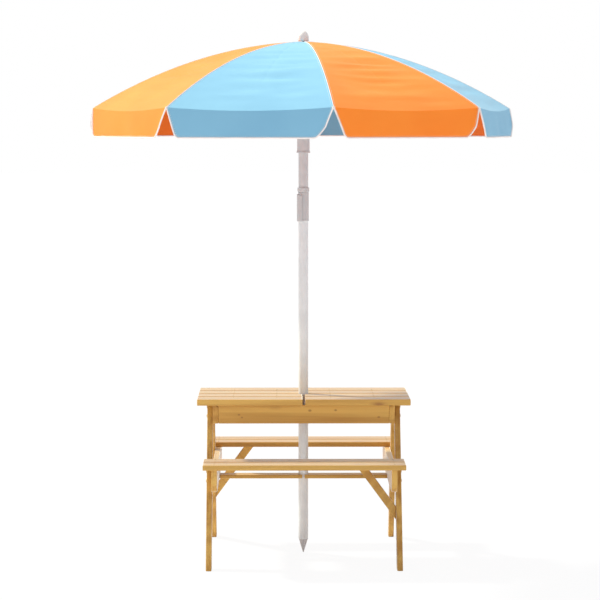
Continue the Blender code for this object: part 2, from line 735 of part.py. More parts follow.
def build_tilt_lever(parent):
    """A curved blade that lies round the socket's side, with its pivot barrel along its top edge."""
    inner = SOCKET_RADIUS + SOCKET_LIP + RUN_GAP
    outer = inner + LEVER_THICKNESS
    pivot = lever_pivot()
    bm = bmesh.new()
    rings = []
    for z in (LEVER_TOP_Z, LEVER_TOP_Z - LEVER_LENGTH):
        arc = []
        for radius, steps in ((outer, range(LEVER_ARC_STEPS + 1)), (inner, range(LEVER_ARC_STEPS, -1, -1))):
            for step in steps:
                angle = LEVER_FACING + LEVER_SPAN * (step / LEVER_ARC_STEPS - 1 / 2)
                place = Vector((math.cos(angle) * radius, math.sin(angle) * radius, z))
                arc.append(bm.verts.new(place - pivot))
        rings.append(arc)
    upper, lower = rings
    for index in range(len(upper)):
        after = (index + 1) % len(upper)
        bm.faces.new((upper[index], lower[index], lower[after], upper[after]))
    bm.faces.new(upper)
    bm.faces.new(reversed(lower))
    bmesh.ops.recalc_face_normals(bm, faces=bm.faces)
    mesh = bpy.data.meshes.new("tilt_lever")
    bm.to_mesh(mesh)
    bm.free()
    lever = new_object("tilt_lever", mesh, white_plastic, parent, pivot)
    half = Vector((-math.sin(LEVER_FACING), math.cos(LEVER_FACING), 0)) * LEVER_BARREL / 2
    bm = bmesh.new()
    add_rod(bm, LEVER_PIVOT_RADIUS, pivot - half, pivot + half, CATCH_STEPS)
    combine(lever, cutter("lever_barrel", bm), "UNION")
    return lever


def radial_slots(name, inner, outer, width, aside, low_z, high_z):
    """One cutter with a slot at each rib. aside shifts each slot sideways from the rib's plane."""
    bm = bmesh.new()
    for index in range(RIBS):
        turn = around(rib_angle(index))
        low = (inner, aside - width / 2, low_z)
        high = (outer, aside + width / 2, high_z)
        add_box(bm, low, high, turn)
    return cutter(name, bm)


def rib_angle(index):
    return RIB_FIRST + 2 * math.pi * index / RIBS


def build_crown(parent):
    """Plug, slotted disc and neck for the canopy, with the finial above it."""
    profile = finial_profile()
    profile += [
        (CROWN_NECK_RADIUS, FINIAL_FOOT_Z),
        (CROWN_NECK_RADIUS, CROWN_DISC_TOP_Z),
        (CROWN_DISC_RADIUS, CROWN_DISC_TOP_Z),
        (CROWN_DISC_RADIUS, CROWN_DISC_Z),
        (CROWN_COLLAR_RADIUS, CROWN_DISC_Z),
        (CROWN_COLLAR_RADIUS, POLE_TOP_Z + SEAT_GAP),
        (PLUG_RADIUS, POLE_TOP_Z + SEAT_GAP),
        (PLUG_RADIUS, POLE_TOP_Z - PLUG_LENGTH),
        (0, POLE_TOP_Z - PLUG_LENGTH),
    ]
    crown = turned("crown", profile, white_plastic, parent)
    width = 2 * (RIB_ROD_RADIUS + SLOT_SIDE)
    slots = radial_slots(
        "rib_slots",
        CROWN_DISC_RADIUS - CROWN_SLOT_DEPTH,
        CROWN_DISC_RADIUS + OVERRUN,
        width,
        0,
        CROWN_DISC_Z - OVERRUN,
        CROWN_SLOT_ROOF_Z,
    )
    combine(crown, slots)


def finial_profile():
    """A plump cap with a domed top, from its top down."""
    dome_z = FINIAL_FOOT_Z + FINIAL_HEIGHT - FINIAL_DOME_HEIGHT
    points = [(0, FINIAL_FOOT_Z + FINIAL_HEIGHT)]
    for step in range(1, FINIAL_STEPS + 1):
        angle = math.pi / 2 * (1 - step / FINIAL_STEPS)
        points.append((FINIAL_RADIUS * math.cos(angle), dome_z + FINIAL_DOME_HEIGHT * math.sin(angle)))
    points.append((FINIAL_RADIUS, FINIAL_FOOT_Z + FINIAL_FOOT_HEIGHT))
    points.append((FINIAL_FOOT_RADIUS, FINIAL_FOOT_Z))
    return points


def build_runner(parent):
    bore = POLE_RADIUS + RUN_GAP
    profile = [
        (RUNNER_DISC_RADIUS, RUNNER_TOP_Z),
        (RUNNER_DISC_RADIUS, RUNNER_DISC_Z),
        (RUNNER_RADIUS, RUNNER_DISC_Z),
        (RUNNER_RADIUS, RUNNER_FOOT_Z + RUNNER_FLANGE),
        (RUNNER_FLANGE_RADIUS, RUNNER_FOOT_Z + RUNNER_FLANGE),
        (RUNNER_FLANGE_RADIUS, RUNNER_FOOT_Z),
        (bore, RUNNER_FOOT_Z),
        (bore, RUNNER_TOP_Z),
    ]
    runner = turned("runner", profile, white_plastic, parent, closed=True)
    width = 2 * (STRETCHER_ROD_RADIUS + SLOT_SIDE)
    slots = radial_slots(
        "stretcher_slots",
        RUNNER_RADIUS,
        RUNNER_DISC_RADIUS + OVERRUN,
        width,
        stretcher_aside(),
        RUNNER_SLOT_FLOOR_Z,
        RUNNER_TOP_Z + OVERRUN,
    )
    combine(runner, slots)
    bm = bmesh.new()
    hole = CATCH_RADIUS + RUN_GAP
    add_rod(bm, hole, (0, POLE_RADIUS / 2, CATCH_Z), (0, RUNNER_DISC_RADIUS, CATCH_Z), CATCH_STEPS)
    combine(runner, cutter("catch_hole", bm))


def build_catch(parent):
    """Round button in the runner's rear wall."""
    inner = POLE_RADIUS + RUN_GAP + CATCH_TRAVEL + SEAT_GAP
    outer = RUNNER_RADIUS + CATCH_PROUD
    bm = bmesh.new()
    add_rod(bm, CATCH_RADIUS, (0, 0, 0), (0, outer - inner, 0), CATCH_STEPS)
    mesh = bpy.data.meshes.new("runner_catch")
    bm.to_mesh(mesh)
    bm.free()
    button = new_object("runner_catch", mesh, white_plastic, parent, (0, inner, CATCH_Z))
    ease(button, SLOT_SIDE)


def stretcher_aside():
    """How far a stretcher lies beside its rib."""
    return RIB_ROD_RADIUS + STRETCHER_ROD_RADIUS + RUN_GAP


def fabric_drop(radius):
    """How far the canopy has fallen below its apex at a radius, along a rib."""
    share = radius / CANOPY_RADIUS
    return CANOPY_DROP * (CANOPY_STRAIGHT_SHARE * share + (1 - CANOPY_STRAIGHT_SHARE) * share * share)


def rib_height(radius):
    """Height of a rib's centre line: on its pivot at the crown, close under the fabric further out."""
    out = (radius - RIB_PIVOT_RADIUS) / (CANOPY_RADIUS - RIB_PIVOT_RADIUS)
    fabric = CANOPY_APEX_Z - fabric_drop(radius)
    root_drop = CANOPY_APEX_Z - fabric_drop(RIB_PIVOT_RADIUS) - RIB_PIVOT_Z
    slope = math.atan((fabric_drop(radius + WELD) - fabric_drop(radius)) / WELD)
    lying = RIB_CLEARANCE / math.cos(slope)
    return fabric - lying - (root_drop - lying) * (1 - max(out, 0)) ** 3


def stretcher_top():
    """Radius and height of the rib's joint with its stretcher."""
    low = RIB_PIVOT_RADIUS
    high = RIB_PIVOT_RADIUS + STRETCHER_ARM
    for _ in range(40):
        middle = (low + high) / 2
        reach = math.hypot(middle - RIB_PIVOT_RADIUS, rib_height(middle) - RIB_PIVOT_Z)
        low, high = (middle, high) if reach < STRETCHER_ARM else (low, middle)
    return low, rib_height(low)


def fold_travel():
    """The runner's travel, and the stretcher's turn, that go with the ribs' fold."""
    top_radius, top_z = stretcher_top()
    length = math.hypot(top_radius - STRETCHER_PIVOT_RADIUS, top_z - STRETCHER_PIVOT_Z)
    arm = math.hypot(top_radius - RIB_PIVOT_RADIUS, top_z - RIB_PIVOT_Z)
    closed = math.atan2(top_z - RIB_PIVOT_Z, top_radius - RIB_PIVOT_RADIUS) - RIB_FOLD
    closed_radius = RIB_PIVOT_RADIUS + arm * math.cos(closed)
    closed_z = RIB_PIVOT_Z + arm * math.sin(closed)
    out = closed_radius - STRETCHER_PIVOT_RADIUS
    travel = STRETCHER_PIVOT_Z - (closed_z - math.sqrt(length**2 - out**2))
    open_lean = math.asin((top_radius - STRETCHER_PIVOT_RADIUS) / length)
    return travel, open_lean - math.asin(out / length)


def build_ribs(pole):
    for index in range(RIBS):
        angle = rib_angle(index)
        pivot = facing(angle, RIB_PIVOT_RADIUS)
        pivot.z = RIB_PIVOT_Z
        tip = CANOPY_RADIUS - RIB_END_SHORT
        points = [facing(angle, -RIB_STUB)]
        for step in range(RIB_POINTS):
            radius = RIB_PIVOT_RADIUS + (tip - RIB_PIVOT_RADIUS) * step / (RIB_POINTS - 1)
            place = facing(angle, radius)
            place.z = rib_height(radius)
            points.append(place - pivot)
        rod_curve(f"rib_{index + 1}", points, RIB_ROD_RADIUS, white_paint, pole, pivot)


def build_stretchers(runner):
    top_radius, top_z = stretcher_top()
    for index in range(RIBS):
        angle = rib_angle(index)
        aside = facing(angle + math.pi / 2, stretcher_aside())
        foot = facing(angle, STRETCHER_PIVOT_RADIUS) + aside
        foot.z = STRETCHER_PIVOT_Z
        top = facing(angle, top_radius) + aside
        top.z = top_z
        along = (top - foot).normalized()
        points = [along * -STRETCHER_STUB, top - foot + along * STRETCHER_STUB]
        rod_curve(f"stretcher_{index + 1}", points, STRETCHER_ROD_RADIUS, white_paint, runner, foot)


def gore_point(first, across, radius):
    """Point of the fabric between rib first and the next, at a share across, for a radius along the ribs."""
    here = facing(rib_angle(first), radius)
    there = facing(rib_angle(first + 1), radius)
    side = (there - here).normalized()
    seam = min(CANOPY_SEAM, max(radius - CANOPY_HUB, 0))
    place = (here + side * seam).lerp(there - side * seam, across)
    share = radius / CANOPY_RADIUS
    arch = 4 * across * (1 - across)
    outward = (here + there).normalized()
    place += outward * CANOPY_BULGE * arch * share
    place.z = CANOPY_APEX_Z - fabric_drop(radius) - CANOPY_SAG * arch * share**1.5
    return place


def valance_point(first, across, down):
    """Point of the hanging flap, at a share down it."""
    rim = gore_point(first, across, CANOPY_RADIUS)
    middle = gore_point(first, 1 / 2, CANOPY_RADIUS)
    outward = facing(rib_angle(first + 1 / 2))
    side = Vector((-outward.y, outward.x, 0))
    off = (rim - middle).dot(side)
    width = CANOPY_RADIUS * math.sin(math.pi / RIBS)
    edge = abs(2 * across - 1)
    place = rim - side * (off / width) * VALANCE_INSET * down
    place += outward * VALANCE_FLARE * (1 - (1 - down) ** 2)
    level_hem = CANOPY_SAG * edge**2  # the rim sags in the middle, the hem hangs level
    place.z -= (VALANCE_DEPTH + level_hem) * down * (1 - VALANCE_ROUND_SHARE * edge**6)
    return place


def build_canopy(name, starts, hub_step, material, parent):
    """The gores of one colour with their flaps, joined by a ring under the finial."""
    bm = bmesh.new()
    ring_z = CANOPY_APEX_Z - fabric_drop(CANOPY_HUB) - hub_step
    rings = []
    for radius in (CANOPY_HOLE, CANOPY_HUB):
        ring = []
        for gore in range(RIBS):
            for column in range(CANOPY_COLUMNS):
                place = facing(rib_angle(gore + column / CANOPY_COLUMNS), radius)
                place.z = ring_z
                ring.append(bm.verts.new(place))
        rings.append(ring)
    inner, outer = rings
    for index in range(len(inner)):
        after = (index + 1) % len(inner)
        bm.faces.new((inner[index], outer[index], outer[after], inner[after]))
    shares = [column / CANOPY_COLUMNS for column in range(CANOPY_COLUMNS + 1)]
    for gore in starts:
        start = gore * CANOPY_COLUMNS
        last = [outer[(start + column) % len(outer)] for column in range(CANOPY_COLUMNS + 1)]
        rows = []
        for row in range(1, CANOPY_ROWS + 1):
            radius = CANOPY_HUB + (CANOPY_RADIUS - CANOPY_HUB) * row / CANOPY_ROWS
            rows.append([gore_point(gore, across, radius) for across in shares])
        for row in range(1, VALANCE_ROWS + 1):
            rows.append([valance_point(gore, across, row / VALANCE_ROWS) for across in shares])
        for row in rows:
            made = [bm.verts.new(place) for place in row]
            for column in range(CANOPY_COLUMNS):
                bm.faces.new((last[column], made[column], made[column + 1], last[column + 1]))
            last = made
    bmesh.ops.recalc_face_normals(bm, faces=bm.faces)
    mesh = bpy.data.meshes.new(name)
    bm.to_mesh(mesh)
    bm.free()
    mesh.shade_smooth()
    canopy = new_object(name, mesh, material, parent)
    cloth = canopy.modifiers.new("cloth", "SOLIDIFY")
    cloth.thickness = CANOPY_THICKNESS
    cloth.offset = -1
    return canopy


for old in list(bpy.data.objects):
    bpy.data.objects.remove(old)

parts = new_collection(PARTS)
cutters = new_collection(CUTTERS)
pine = paint("pine", (0.62, 0.38, 0.15), 0.55)
sand_plastic = paint("bin_plastic", (0.72, 0.71, 0.68), 0.45)
white_paint = paint("pole_paint", (0.60, 0.56, 0.54), 0.35)
white_plastic = paint("joint_plastic", (0.63, 0.58, 0.56), 0.45)
orange_cloth = paint("orange_cloth", (1.0, 0.30, 0.05), 0.8)
blue_cloth = paint("blue_cloth", (0.28, 0.60, 0.80), 0.8)

build_legs()
build_bearers()
build_centre_stretcher()
build_braces()
build_sandbox()
build_seats()
for hand, way in (("left", -1), ("right", 1)):
    build_top(hand, way, empty(f"{hand}_top_lift", (way * TOP_LENGTH / 4, 0, TOP_Z)))
    build_bin(f"sand_bin_{hand}", way, empty(f"{hand}_bin_lift", (way * TOP_LENGTH / 4, 0, BOX_TOP)))

umbrella_lift = empty("umbrella_lift", (0, 0, 0))
tilt_pivot = empty("tilt_pivot", (TILT_PIVOT_X, 0, TILT_PIVOT_Z), umbrella_lift)
runner_slide = empty("runner_slide", (0, 0, RUNNER_FOOT_Z), tilt_pivot)
build_lower_pole(umbrella_lift)
build_tilt_socket(umbrella_lift)
build_tilt_lever(umbrella_lift)
build_tilt_head(tilt_pivot)
tube("upper_pole", UPPER_POLE_FOOT, POLE_TOP_Z, tilt_pivot)
build_crown(tilt_pivot)
build_runner(runner_slide)
build_catch(runner_slide)
build_ribs(tilt_pivot)
build_stretchers(runner_slide)
build_canopy("canopy_orange", range(0, RIBS, 2), 0, orange_cloth, tilt_pivot)
build_canopy("canopy_blue", range(1, RIBS, 2), CANOPY_HUB_STEP, blue_cloth, tilt_pivot)

slide, turn = fold_travel()
print(f"Runner travel {slide:.5f} m, ribs fold {RIB_FOLD:.5f} rad, stretchers fold {turn:.5f} rad")
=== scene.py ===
# Finish, cloth and fittings for the children's picnic table with its sandbox and umbrella.
# Metres, +Z up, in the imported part's own frame: the pole is on the Z axis, the front is at -Y.

import math

import bmesh
import bpy
from mathutils import Matrix, Vector


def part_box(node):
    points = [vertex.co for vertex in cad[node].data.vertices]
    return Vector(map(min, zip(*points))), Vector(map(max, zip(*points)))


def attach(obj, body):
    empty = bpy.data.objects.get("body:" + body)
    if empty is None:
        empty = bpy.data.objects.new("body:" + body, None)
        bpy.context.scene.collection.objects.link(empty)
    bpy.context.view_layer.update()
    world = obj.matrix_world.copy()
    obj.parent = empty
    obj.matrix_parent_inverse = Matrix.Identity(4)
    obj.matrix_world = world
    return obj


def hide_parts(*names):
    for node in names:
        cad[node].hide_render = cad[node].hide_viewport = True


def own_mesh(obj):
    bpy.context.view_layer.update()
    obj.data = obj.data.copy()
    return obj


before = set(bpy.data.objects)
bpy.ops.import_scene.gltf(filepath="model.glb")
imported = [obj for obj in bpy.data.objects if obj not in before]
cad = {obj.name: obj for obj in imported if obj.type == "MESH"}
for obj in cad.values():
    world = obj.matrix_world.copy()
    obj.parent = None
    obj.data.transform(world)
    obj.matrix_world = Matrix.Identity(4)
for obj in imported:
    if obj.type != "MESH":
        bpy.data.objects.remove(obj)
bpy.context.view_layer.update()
print("Frame loaded with", len(cad), "nodes")


def plug(tree, value, socket):  # a socket gets a link, a plain value is typed in
    if isinstance(value, bpy.types.NodeSocket):
        tree.links.new(value, socket)
    else:
        socket.default_value = value


def step(tree, kind, inputs=None, **settings):  # one node, with its inputs and settings
    made = tree.nodes.new(kind)
    for key, value in settings.items():
        setattr(made, key, value)
    for key, value in (inputs or {}).items():
        plug(tree, value, made.inputs[key])
    return made


def calc(tree, operation, *values):
    made = step(tree, "ShaderNodeMath", dict(enumerate(values)), operation=operation)
    return made.outputs[0]


def vectorCalc(tree, operation, *values):
    made = step(tree, "ShaderNodeVectorMath", dict(enumerate(values)), operation=operation)
    scalar = operation in ("DOT_PRODUCT", "LENGTH", "DISTANCE")
    return made.outputs["Value" if scalar else "Vector"]


def stretch(tree, vector, factor):  # one number, or a vector of three
    if isinstance(factor, tuple):
        return vectorCalc(tree, "MULTIPLY", vector, factor)
    made = step(tree, "ShaderNodeVectorMath", {0: vector, "Scale": factor}, operation="SCALE")
    return made.outputs["Vector"]


def vectorOf(tree, x=0.0, y=0.0, z=0.0):
    return step(tree, "ShaderNodeCombineXYZ", {0: x, 1: y, 2: z}).outputs[0]


def noise(tree, vector, scale=1.0, detail=2.0, seed=None):  # with a seed it is four-dimensional
    inputs = {"Vector": vector, "Scale": scale, "Detail": detail}
    if seed is None:
        return step(tree, "ShaderNodeTexNoise", inputs).outputs["Fac"]
    inputs["W"] = seed
    return step(tree, "ShaderNodeTexNoise", inputs, noise_dimensions="4D").outputs["Fac"]


def ramp(tree, value, *stops):  # each stop is a place and a colour
    made = step(tree, "ShaderNodeValToRGB", {0: value})
    elements = made.color_ramp.elements
    for element, (place, colour) in zip(elements, (stops[0], stops[-1])):
        element.position = place
        element.color = colour
    for place, colour in stops[1:-1]:
        elements.new(place).color = colour
    return made.outputs["Color"]


def tint(tree, mode, share, first, second):
    made = step(tree, "ShaderNodeMix", data_type="RGBA", blend_type=mode)
    plug(tree, share, made.inputs[0])
    plug(tree, first, made.inputs[6])
    plug(tree, second, made.inputs[7])
    return made.outputs[2]


def grey(level):
    return (level, level, level, 1)


def newMaterial(name):
    material = bpy.data.materials.new(name)
    material.use_nodes = True
    tree = material.node_tree
    shader = tree.nodes["Principled BSDF"]
    return material, tree, shader


def addBump(tree, shader, height, strength, distance):
    inputs = {"Height": height, "Strength": strength, "Distance": distance}
    bump = step(tree, "ShaderNodeBump", inputs)
    tree.links.new(bump.outputs[0], shader.inputs["Normal"])


# Wood. The grain runs along X in the group, and each board turns and shifts it for itself.

pineLook = {
    "early": (0.685, 0.405, 0.092, 1),
    "late": (0.465, 0.225, 0.038, 1),
    "knot": (0.30, 0.120, 0.030, 1),
    "alongGrain": (0.07, 1.0, 1.0),  # draws each pattern out along the board
    "ringScale": 30.0,
    "ringWander": 7.0,
    "ringSharpness": 2.2,
    "streakScale": (14.0, 32.0, 32.0),
    "fibreScale": (60.0, 420.0, 420.0),
    "patchScale": (30.0, 6.0, 6.0),
    "rings": 0.30,  # how much each pattern darkens the wood
    "streaks": 3.0,
    "fibres": 0.5,
    "patches": 1.2,
    "start": 0.36,  # how dark the wood is without them
    "ringHeight": 0.5,
    "fibreHeight": 0.7,
    "knotCells": (8.0, 22.0, 22.0),
    "knotRarity": 0.88,
    "knotDarkness": 0.8,
    "tone": 1.0,
    # painted shade: the front seat slats, front legs and front brace take this darker tone
    "frontShadeTone": 0.89,
    "toneSpread": 0.06,  # from board to board
    "tonePace": 0.531,
    "shiftPace": (0.373, 0.617, 0.239),  # each board starts elsewhere in the pattern
    "shiftReach": (3, 2, 2),
    "roughness": 0.62,
    "grainStrength": 0.12,
    "grainDepth": 0.0005,
}
varnish = {
    "Coat Weight": 0.08,
    "Coat Roughness": 0.45,
    "Sheen Weight": 1.0,
    "Sheen Roughness": 0.3,
}


def makePineGroup():
    tree = bpy.data.node_groups.new("pineGrain", "ShaderNodeTree")
    for label, kind in (("Vector", "NodeSocketVector"), ("Tone", "NodeSocketFloat")):
        tree.interface.new_socket(name=label, in_out="INPUT", socket_type=kind)
    for label, kind in (("Colour", "NodeSocketColor"), ("Height", "NodeSocketFloat")):
        tree.interface.new_socket(name=label, in_out="OUTPUT", socket_type=kind)
    ask = tree.nodes.new("NodeGroupInput").outputs
    long = stretch(tree, ask["Vector"], pineLook["alongGrain"])
    rings = step(
        tree,
        "ShaderNodeTexWave",
        {
            "Vector": long,
            "Scale": pineLook["ringScale"],
            "Distortion": pineLook["ringWander"],
            "Detail": 2.5,
            "Detail Scale": 0.7,
        },
        wave_type="BANDS",
        bands_direction="Y",
    ).outputs["Fac"]
    streaks = noise(tree, stretch(tree, long, pineLook["streakScale"]), 1.0, 3.0)
    fibres = noise(tree, stretch(tree, long, pineLook["fibreScale"]))
    patches = noise(tree, stretch(tree, long, pineLook["patchScale"]), 1.0, 1.0)
    bands = calc(tree, "POWER", rings, pineLook["ringSharpness"])
    dark = calc(tree, "MULTIPLY", bands, pineLook["rings"])
    for pattern, name in ((streaks, "streaks"), (fibres, "fibres"), (patches, "patches")):
        centred = calc(tree, "SUBTRACT", pattern, 0.5)
        dark = calc(tree, "MULTIPLY_ADD", centred, pineLook[name], dark)
    dark = calc(tree, "ADD", dark, pineLook["start"])
    share = step(tree, "ShaderNodeClamp", {0: dark}).outputs[0]
    wood = tint(tree, "MIX", share, pineLook["early"], pineLook["late"])
    # Sparse knots: one in a few cells of a stretched cell pattern
    drawn = stretch(tree, ask["Vector"], pineLook["knotCells"])
    cells = step(tree, "ShaderNodeTexVoronoi", {"Vector": drawn, "Scale": 1.0, "Randomness": 0.8})
    cellShade = step(tree, "ShaderNodeSeparateColor", {0: cells.outputs["Color"]}).outputs[0]
    chosen = calc(tree, "GREATER_THAN", cellShade, pineLook["knotRarity"])
    rim = ((0.05, grey(1)), (0.17, grey(0.30)), (0.28, grey(0)))
    heart = ramp(tree, cells.outputs["Distance"], *rim)
    knots = calc(tree, "MULTIPLY", chosen, heart)
    knots = calc(tree, "MULTIPLY", knots, pineLook["knotDarkness"])
    wood = tint(tree, "MIX", knots, wood, pineLook["knot"])
    channels = {channel: ask["Tone"] for channel in range(3)}
    tone = step(tree, "ShaderNodeCombineColor", channels).outputs[0]
    wood = tint(tree, "MULTIPLY", 1.0, wood, tone)
    height = calc(tree, "MULTIPLY", fibres, pineLook["fibreHeight"])
    height = calc(tree, "MULTIPLY_ADD", rings, pineLook["ringHeight"], height)
    out = tree.nodes.new("NodeGroupOutput")
    tree.links.new(wood, out.inputs["Colour"])
    tree.links.new(height, out.inputs["Height"])
    return tree


pineGroup = makePineGroup()
# Boards darkened by the tone above, as painted shade
frontShadeBoards = ("seat_slat_front", "leg_front", "brace_front")


def makePine(board, turn, number, knots=()):  # turn brings the board's length onto X
    material, tree, shader = newMaterial("pine_" + board)
    place = step(tree, "ShaderNodeTexCoord").outputs["Object"]
    paces = zip(pineLook["shiftPace"], pineLook["shiftReach"])
    shift = tuple((number * pace) % 1.0 * reach for pace, reach in paces)
    laid = {"Vector": place, "Location": shift, "Rotation": turn}
    mapped = step(tree, "ShaderNodeMapping", laid)
    grain = step(tree, "ShaderNodeGroup", node_tree=pineGroup)
    tree.links.new(mapped.outputs[0], grain.inputs["Vector"])
    tone = pineLook["frontShadeTone" if board.startswith(frontShadeBoards) else "tone"]
    tone += pineLook["toneSpread"] * ((number * pineLook["tonePace"]) % 1.0)
    grain.inputs["Tone"].default_value = tone
    colour = grain.outputs["Colour"]
    for x, z, size in knots:
        away = vectorCalc(tree, "SUBTRACT", place, (x, 0.0, z))
        away = stretch(tree, away, (0.7 / size, 0.0, 1.0 / size))  # longer along the board
        away = vectorCalc(tree, "LENGTH", away)
        share = ramp(tree, away, (0.2, grey(0.80)), (0.75, grey(0.40)), (1.0, grey(0)))
        colour = tint(tree, "MIX", share, colour, pineLook["knot"])
    tree.links.new(colour, shader.inputs["Base Color"])
    shader.inputs["Roughness"].default_value = pineLook["roughness"]
    for label, value in varnish.items():
        shader.inputs[label].default_value = value
    height = grain.outputs["Height"]
    addBump(tree, shader, height, pineLook["grainStrength"], pineLook["grainDepth"])
    return material


def paintNode(name, material):
    for slot in cad[name].material_slots:
        slot.material = material


boardsAlongY = ("bearer_", "sandbox_end", "well_divider", "top_batten")
woodStarts = ("leg_", "bearer_", "centre_", "brace_", "sandbox_", "well_", "seat_", "top_")
apronKnots = (  # across, up, radius
    (0.0196, 0.4907, 0.0048),
    (0.1028, 0.4919, 0.0042),
    (-0.2098, 0.4773, 0.0036),
    (-0.2002, 0.4685, 0.0034),
    (0.2428, 0.4693, 0.0042),
)
legLean = math.atan2(0.2355, 0.512)  # from the upright
braceLean = math.radians(38)
woodNodes = sorted(name for name in cad if name.startswith(woodStarts))
for number, name in enumerate(woodNodes):
    if name.startswith("leg_front"):
        turn = (math.pi / 2 - legLean, 0, math.pi / 2)
    elif name.startswith("leg_rear"):
        turn = (math.pi / 2 + legLean, 0, math.pi / 2)
    elif name == "brace_front_right":
        turn = (0, math.pi / 2 - braceLean, 0)
    elif name == "brace_rear_left":
        turn = (0, math.pi / 2 + braceLean, 0)
    elif name.startswith(boardsAlongY):
        turn = (0, 0, math.pi / 2)
    else:
        turn = (0, 0, 0)
    knots = apronKnots if name == "sandbox_front" else ()
    paintNode(name, makePine(name, turn, number, knots))
print("Boards finished:", len(woodNodes))


# Paint and plastic

shellLook = {"mottleScale": 22.0, "dull": 0.90, "glossSpread": 0.16, "skinStrength": 0.2}


# A hard finish with a finely grained skin, and a little duller in patches
def makeShell(name, colour, roughness, grainScale, grainDepth, coat=0.0):
    material, tree, shader = newMaterial(name)
    place = step(tree, "ShaderNodeTexCoord").outputs["Object"]
    mottle = noise(tree, place, shellLook["mottleScale"], 3.0)
    skin = noise(tree, place, grainScale)
    dull = tuple(part * shellLook["dull"] for part in colour)
    shade = ramp(tree, mottle, (0.3, (*dull, 1)), (0.7, (*colour, 1)))
    tree.links.new(shade, shader.inputs["Base Color"])
    spread = shellLook["glossSpread"]
    gloss = calc(tree, "MULTIPLY_ADD", mottle, spread, roughness - spread / 2)
    tree.links.new(gloss, shader.inputs["Roughness"])
    shader.inputs["Coat Weight"].default_value = coat
    addBump(tree, shader, skin, shellLook["skinStrength"], grainDepth)
    return material


# The upper pole gets a darker copy of the pole paint: painted shade from the canopy above it
polePaint = makeShell("polePaint", (0.800, 0.812, 0.825), 0.38, 900.0, 0.0002, 0.1)
shadedPolePaint = makeShell("upperPoleShadedPaint", (0.64, 0.63, 0.635), 0.42, 900.0, 0.0002, 0.1)
jointPlastic = makeShell("jointPlastic", (0.60, 0.59, 0.595), 0.45, 1400.0, 0.0002)
# The crown gets a lighter copy of the joint plastic: painted light, for the sun on it
sunlitCrownPlastic = makeShell("sunlitCrownPlastic", (0.80, 0.77, 0.765), 0.45, 1400.0, 0.0002)
binPlastic = makeShell("binPlastic", (0.72, 0.71, 0.68), 0.45, 700.0, 0.0004)
# Near black for the screw heads' cross recesses: painted shade
recessShadePaint = makeShell("slotShadow", (0.16, 0.135, 0.13), 0.6, 800.0, 0.0002)
screwBrass = makeShell("screwBrass", (0.62, 0.42, 0.19), 0.5, 500.0, 0.0002)
screwBrass.node_tree.nodes["Principled BSDF"].inputs["Metallic"].default_value = 0.6

paintNode("lower_pole", polePaint)
paintNode("upper_pole", shadedPolePaint)
paintNode("crown", sunlitCrownPlastic)
for name in cad:
    if name.startswith(("rib_", "stretcher_")):
        paintNode(name, polePaint)
for name in ("ground_spike", "tilt_socket", "tilt_lever", "tilt_head", "runner", "runner_catch"):
    paintNode(name, jointPlastic)
for name in ("sand_bin_left", "sand_bin_right"):
    paintNode(name, binPlastic)
print("Poles, joint parts and bins finished")


# Cloth

clothLook = {
    "yarnScale": 340.0,
    "yarnShade": -0.2,
    "slubScale": (30.0, 700.0, 1.0),
    "slubShade": 0.25,
    "cloudScale": 5.0,
    "weaveStrength": 0.12,
    "weaveDepth": 0.0003,
}
clothFinish = {
    "Roughness": 0.72,
    "Specular IOR Level": 0.25,
    "Sheen Weight": 0.12,
    "Sheen Roughness": 0.4,
}


# Woven polyester, with its yarns on the panel's own UV map in metres
def makeCloth(name, colour, deep):
    material, tree, shader = newMaterial(name)
    weave = step(tree, "ShaderNodeUVMap", uv_map="weave").outputs[0]
    place = step(tree, "ShaderNodeTexCoord").outputs["Object"]
    yarns = {"Vector": weave, "Scale": clothLook["yarnScale"]}
    warp = step(tree, "ShaderNodeTexWave", yarns, bands_direction="X").outputs["Fac"]
    weft = step(tree, "ShaderNodeTexWave", yarns, bands_direction="Y").outputs["Fac"]
    yarn = calc(tree, "MULTIPLY", warp, weft)
    cloud = noise(tree, place, clothLook["cloudScale"], 3.0)
    slub = noise(tree, stretch(tree, weave, clothLook["slubScale"]))
    share = calc(tree, "MULTIPLY_ADD", yarn, clothLook["yarnShade"], cloud)
    share = calc(tree, "MULTIPLY_ADD", slub, clothLook["slubShade"], share)
    shade = ramp(tree, share, (0.35, (*colour, 1)), (0.85, (*deep, 1)))
    tree.links.new(shade, shader.inputs["Base Color"])
    for label, value in clothFinish.items():
        shader.inputs[label].default_value = value
    addBump(tree, shader, yarn, clothLook["weaveStrength"], clothLook["weaveDepth"])
    return material


orangeCloth = makeCloth("orangeCloth", (1.0, 0.280, 0.030), (0.98, 0.235, 0.021))
blueCloth = makeCloth("blueCloth", (0.236, 0.500, 0.690), (0.205, 0.450, 0.645))
# Darker copies of the two cloths for the panels' undersides: painted shade on the inner face
orangeShadedUnder = makeCloth("orangeUnderside", (0.80, 0.170, 0.015), (0.76, 0.145, 0.011))
blueShadedUnder = makeCloth("blueUnderside", (0.190, 0.390, 0.540), (0.170, 0.355, 0.500))
pipingCloth = makeShell("whiteBinding", (0.90, 0.83, 0.81), 0.7, 1200.0, 0.0004)
sewingThread = makeShell("sewingThread", (0.88, 0.84, 0.80), 0.7, 2000.0, 0.0001)


# Geometry node recipes. Each has named inputs, and cook() turns its result into a plain mesh.

socketKinds = {
    float: "NodeSocketFloat",
    int: "NodeSocketInt",
    str: "NodeSocketString",
    tuple: "NodeSocketVector",
}


def newRecipe(name, inputs, takesMesh=False):
    tree = bpy.data.node_groups.new(name, "GeometryNodeTree")
    if takesMesh:
        tree.interface.new_socket(name="Mesh", in_out="INPUT", socket_type="NodeSocketGeometry")
    for label, value in inputs.items():
        kind = "NodeSocketMaterial" if value is None else socketKinds[type(value)]
        made = tree.interface.new_socket(name=label, in_out="INPUT", socket_type=kind)
        if value is not None:
            made.default_value = value
    tree.interface.new_socket(name="Mesh", in_out="OUTPUT", socket_type="NodeSocketGeometry")
    return tree, tree.nodes.new("NodeGroupInput").outputs


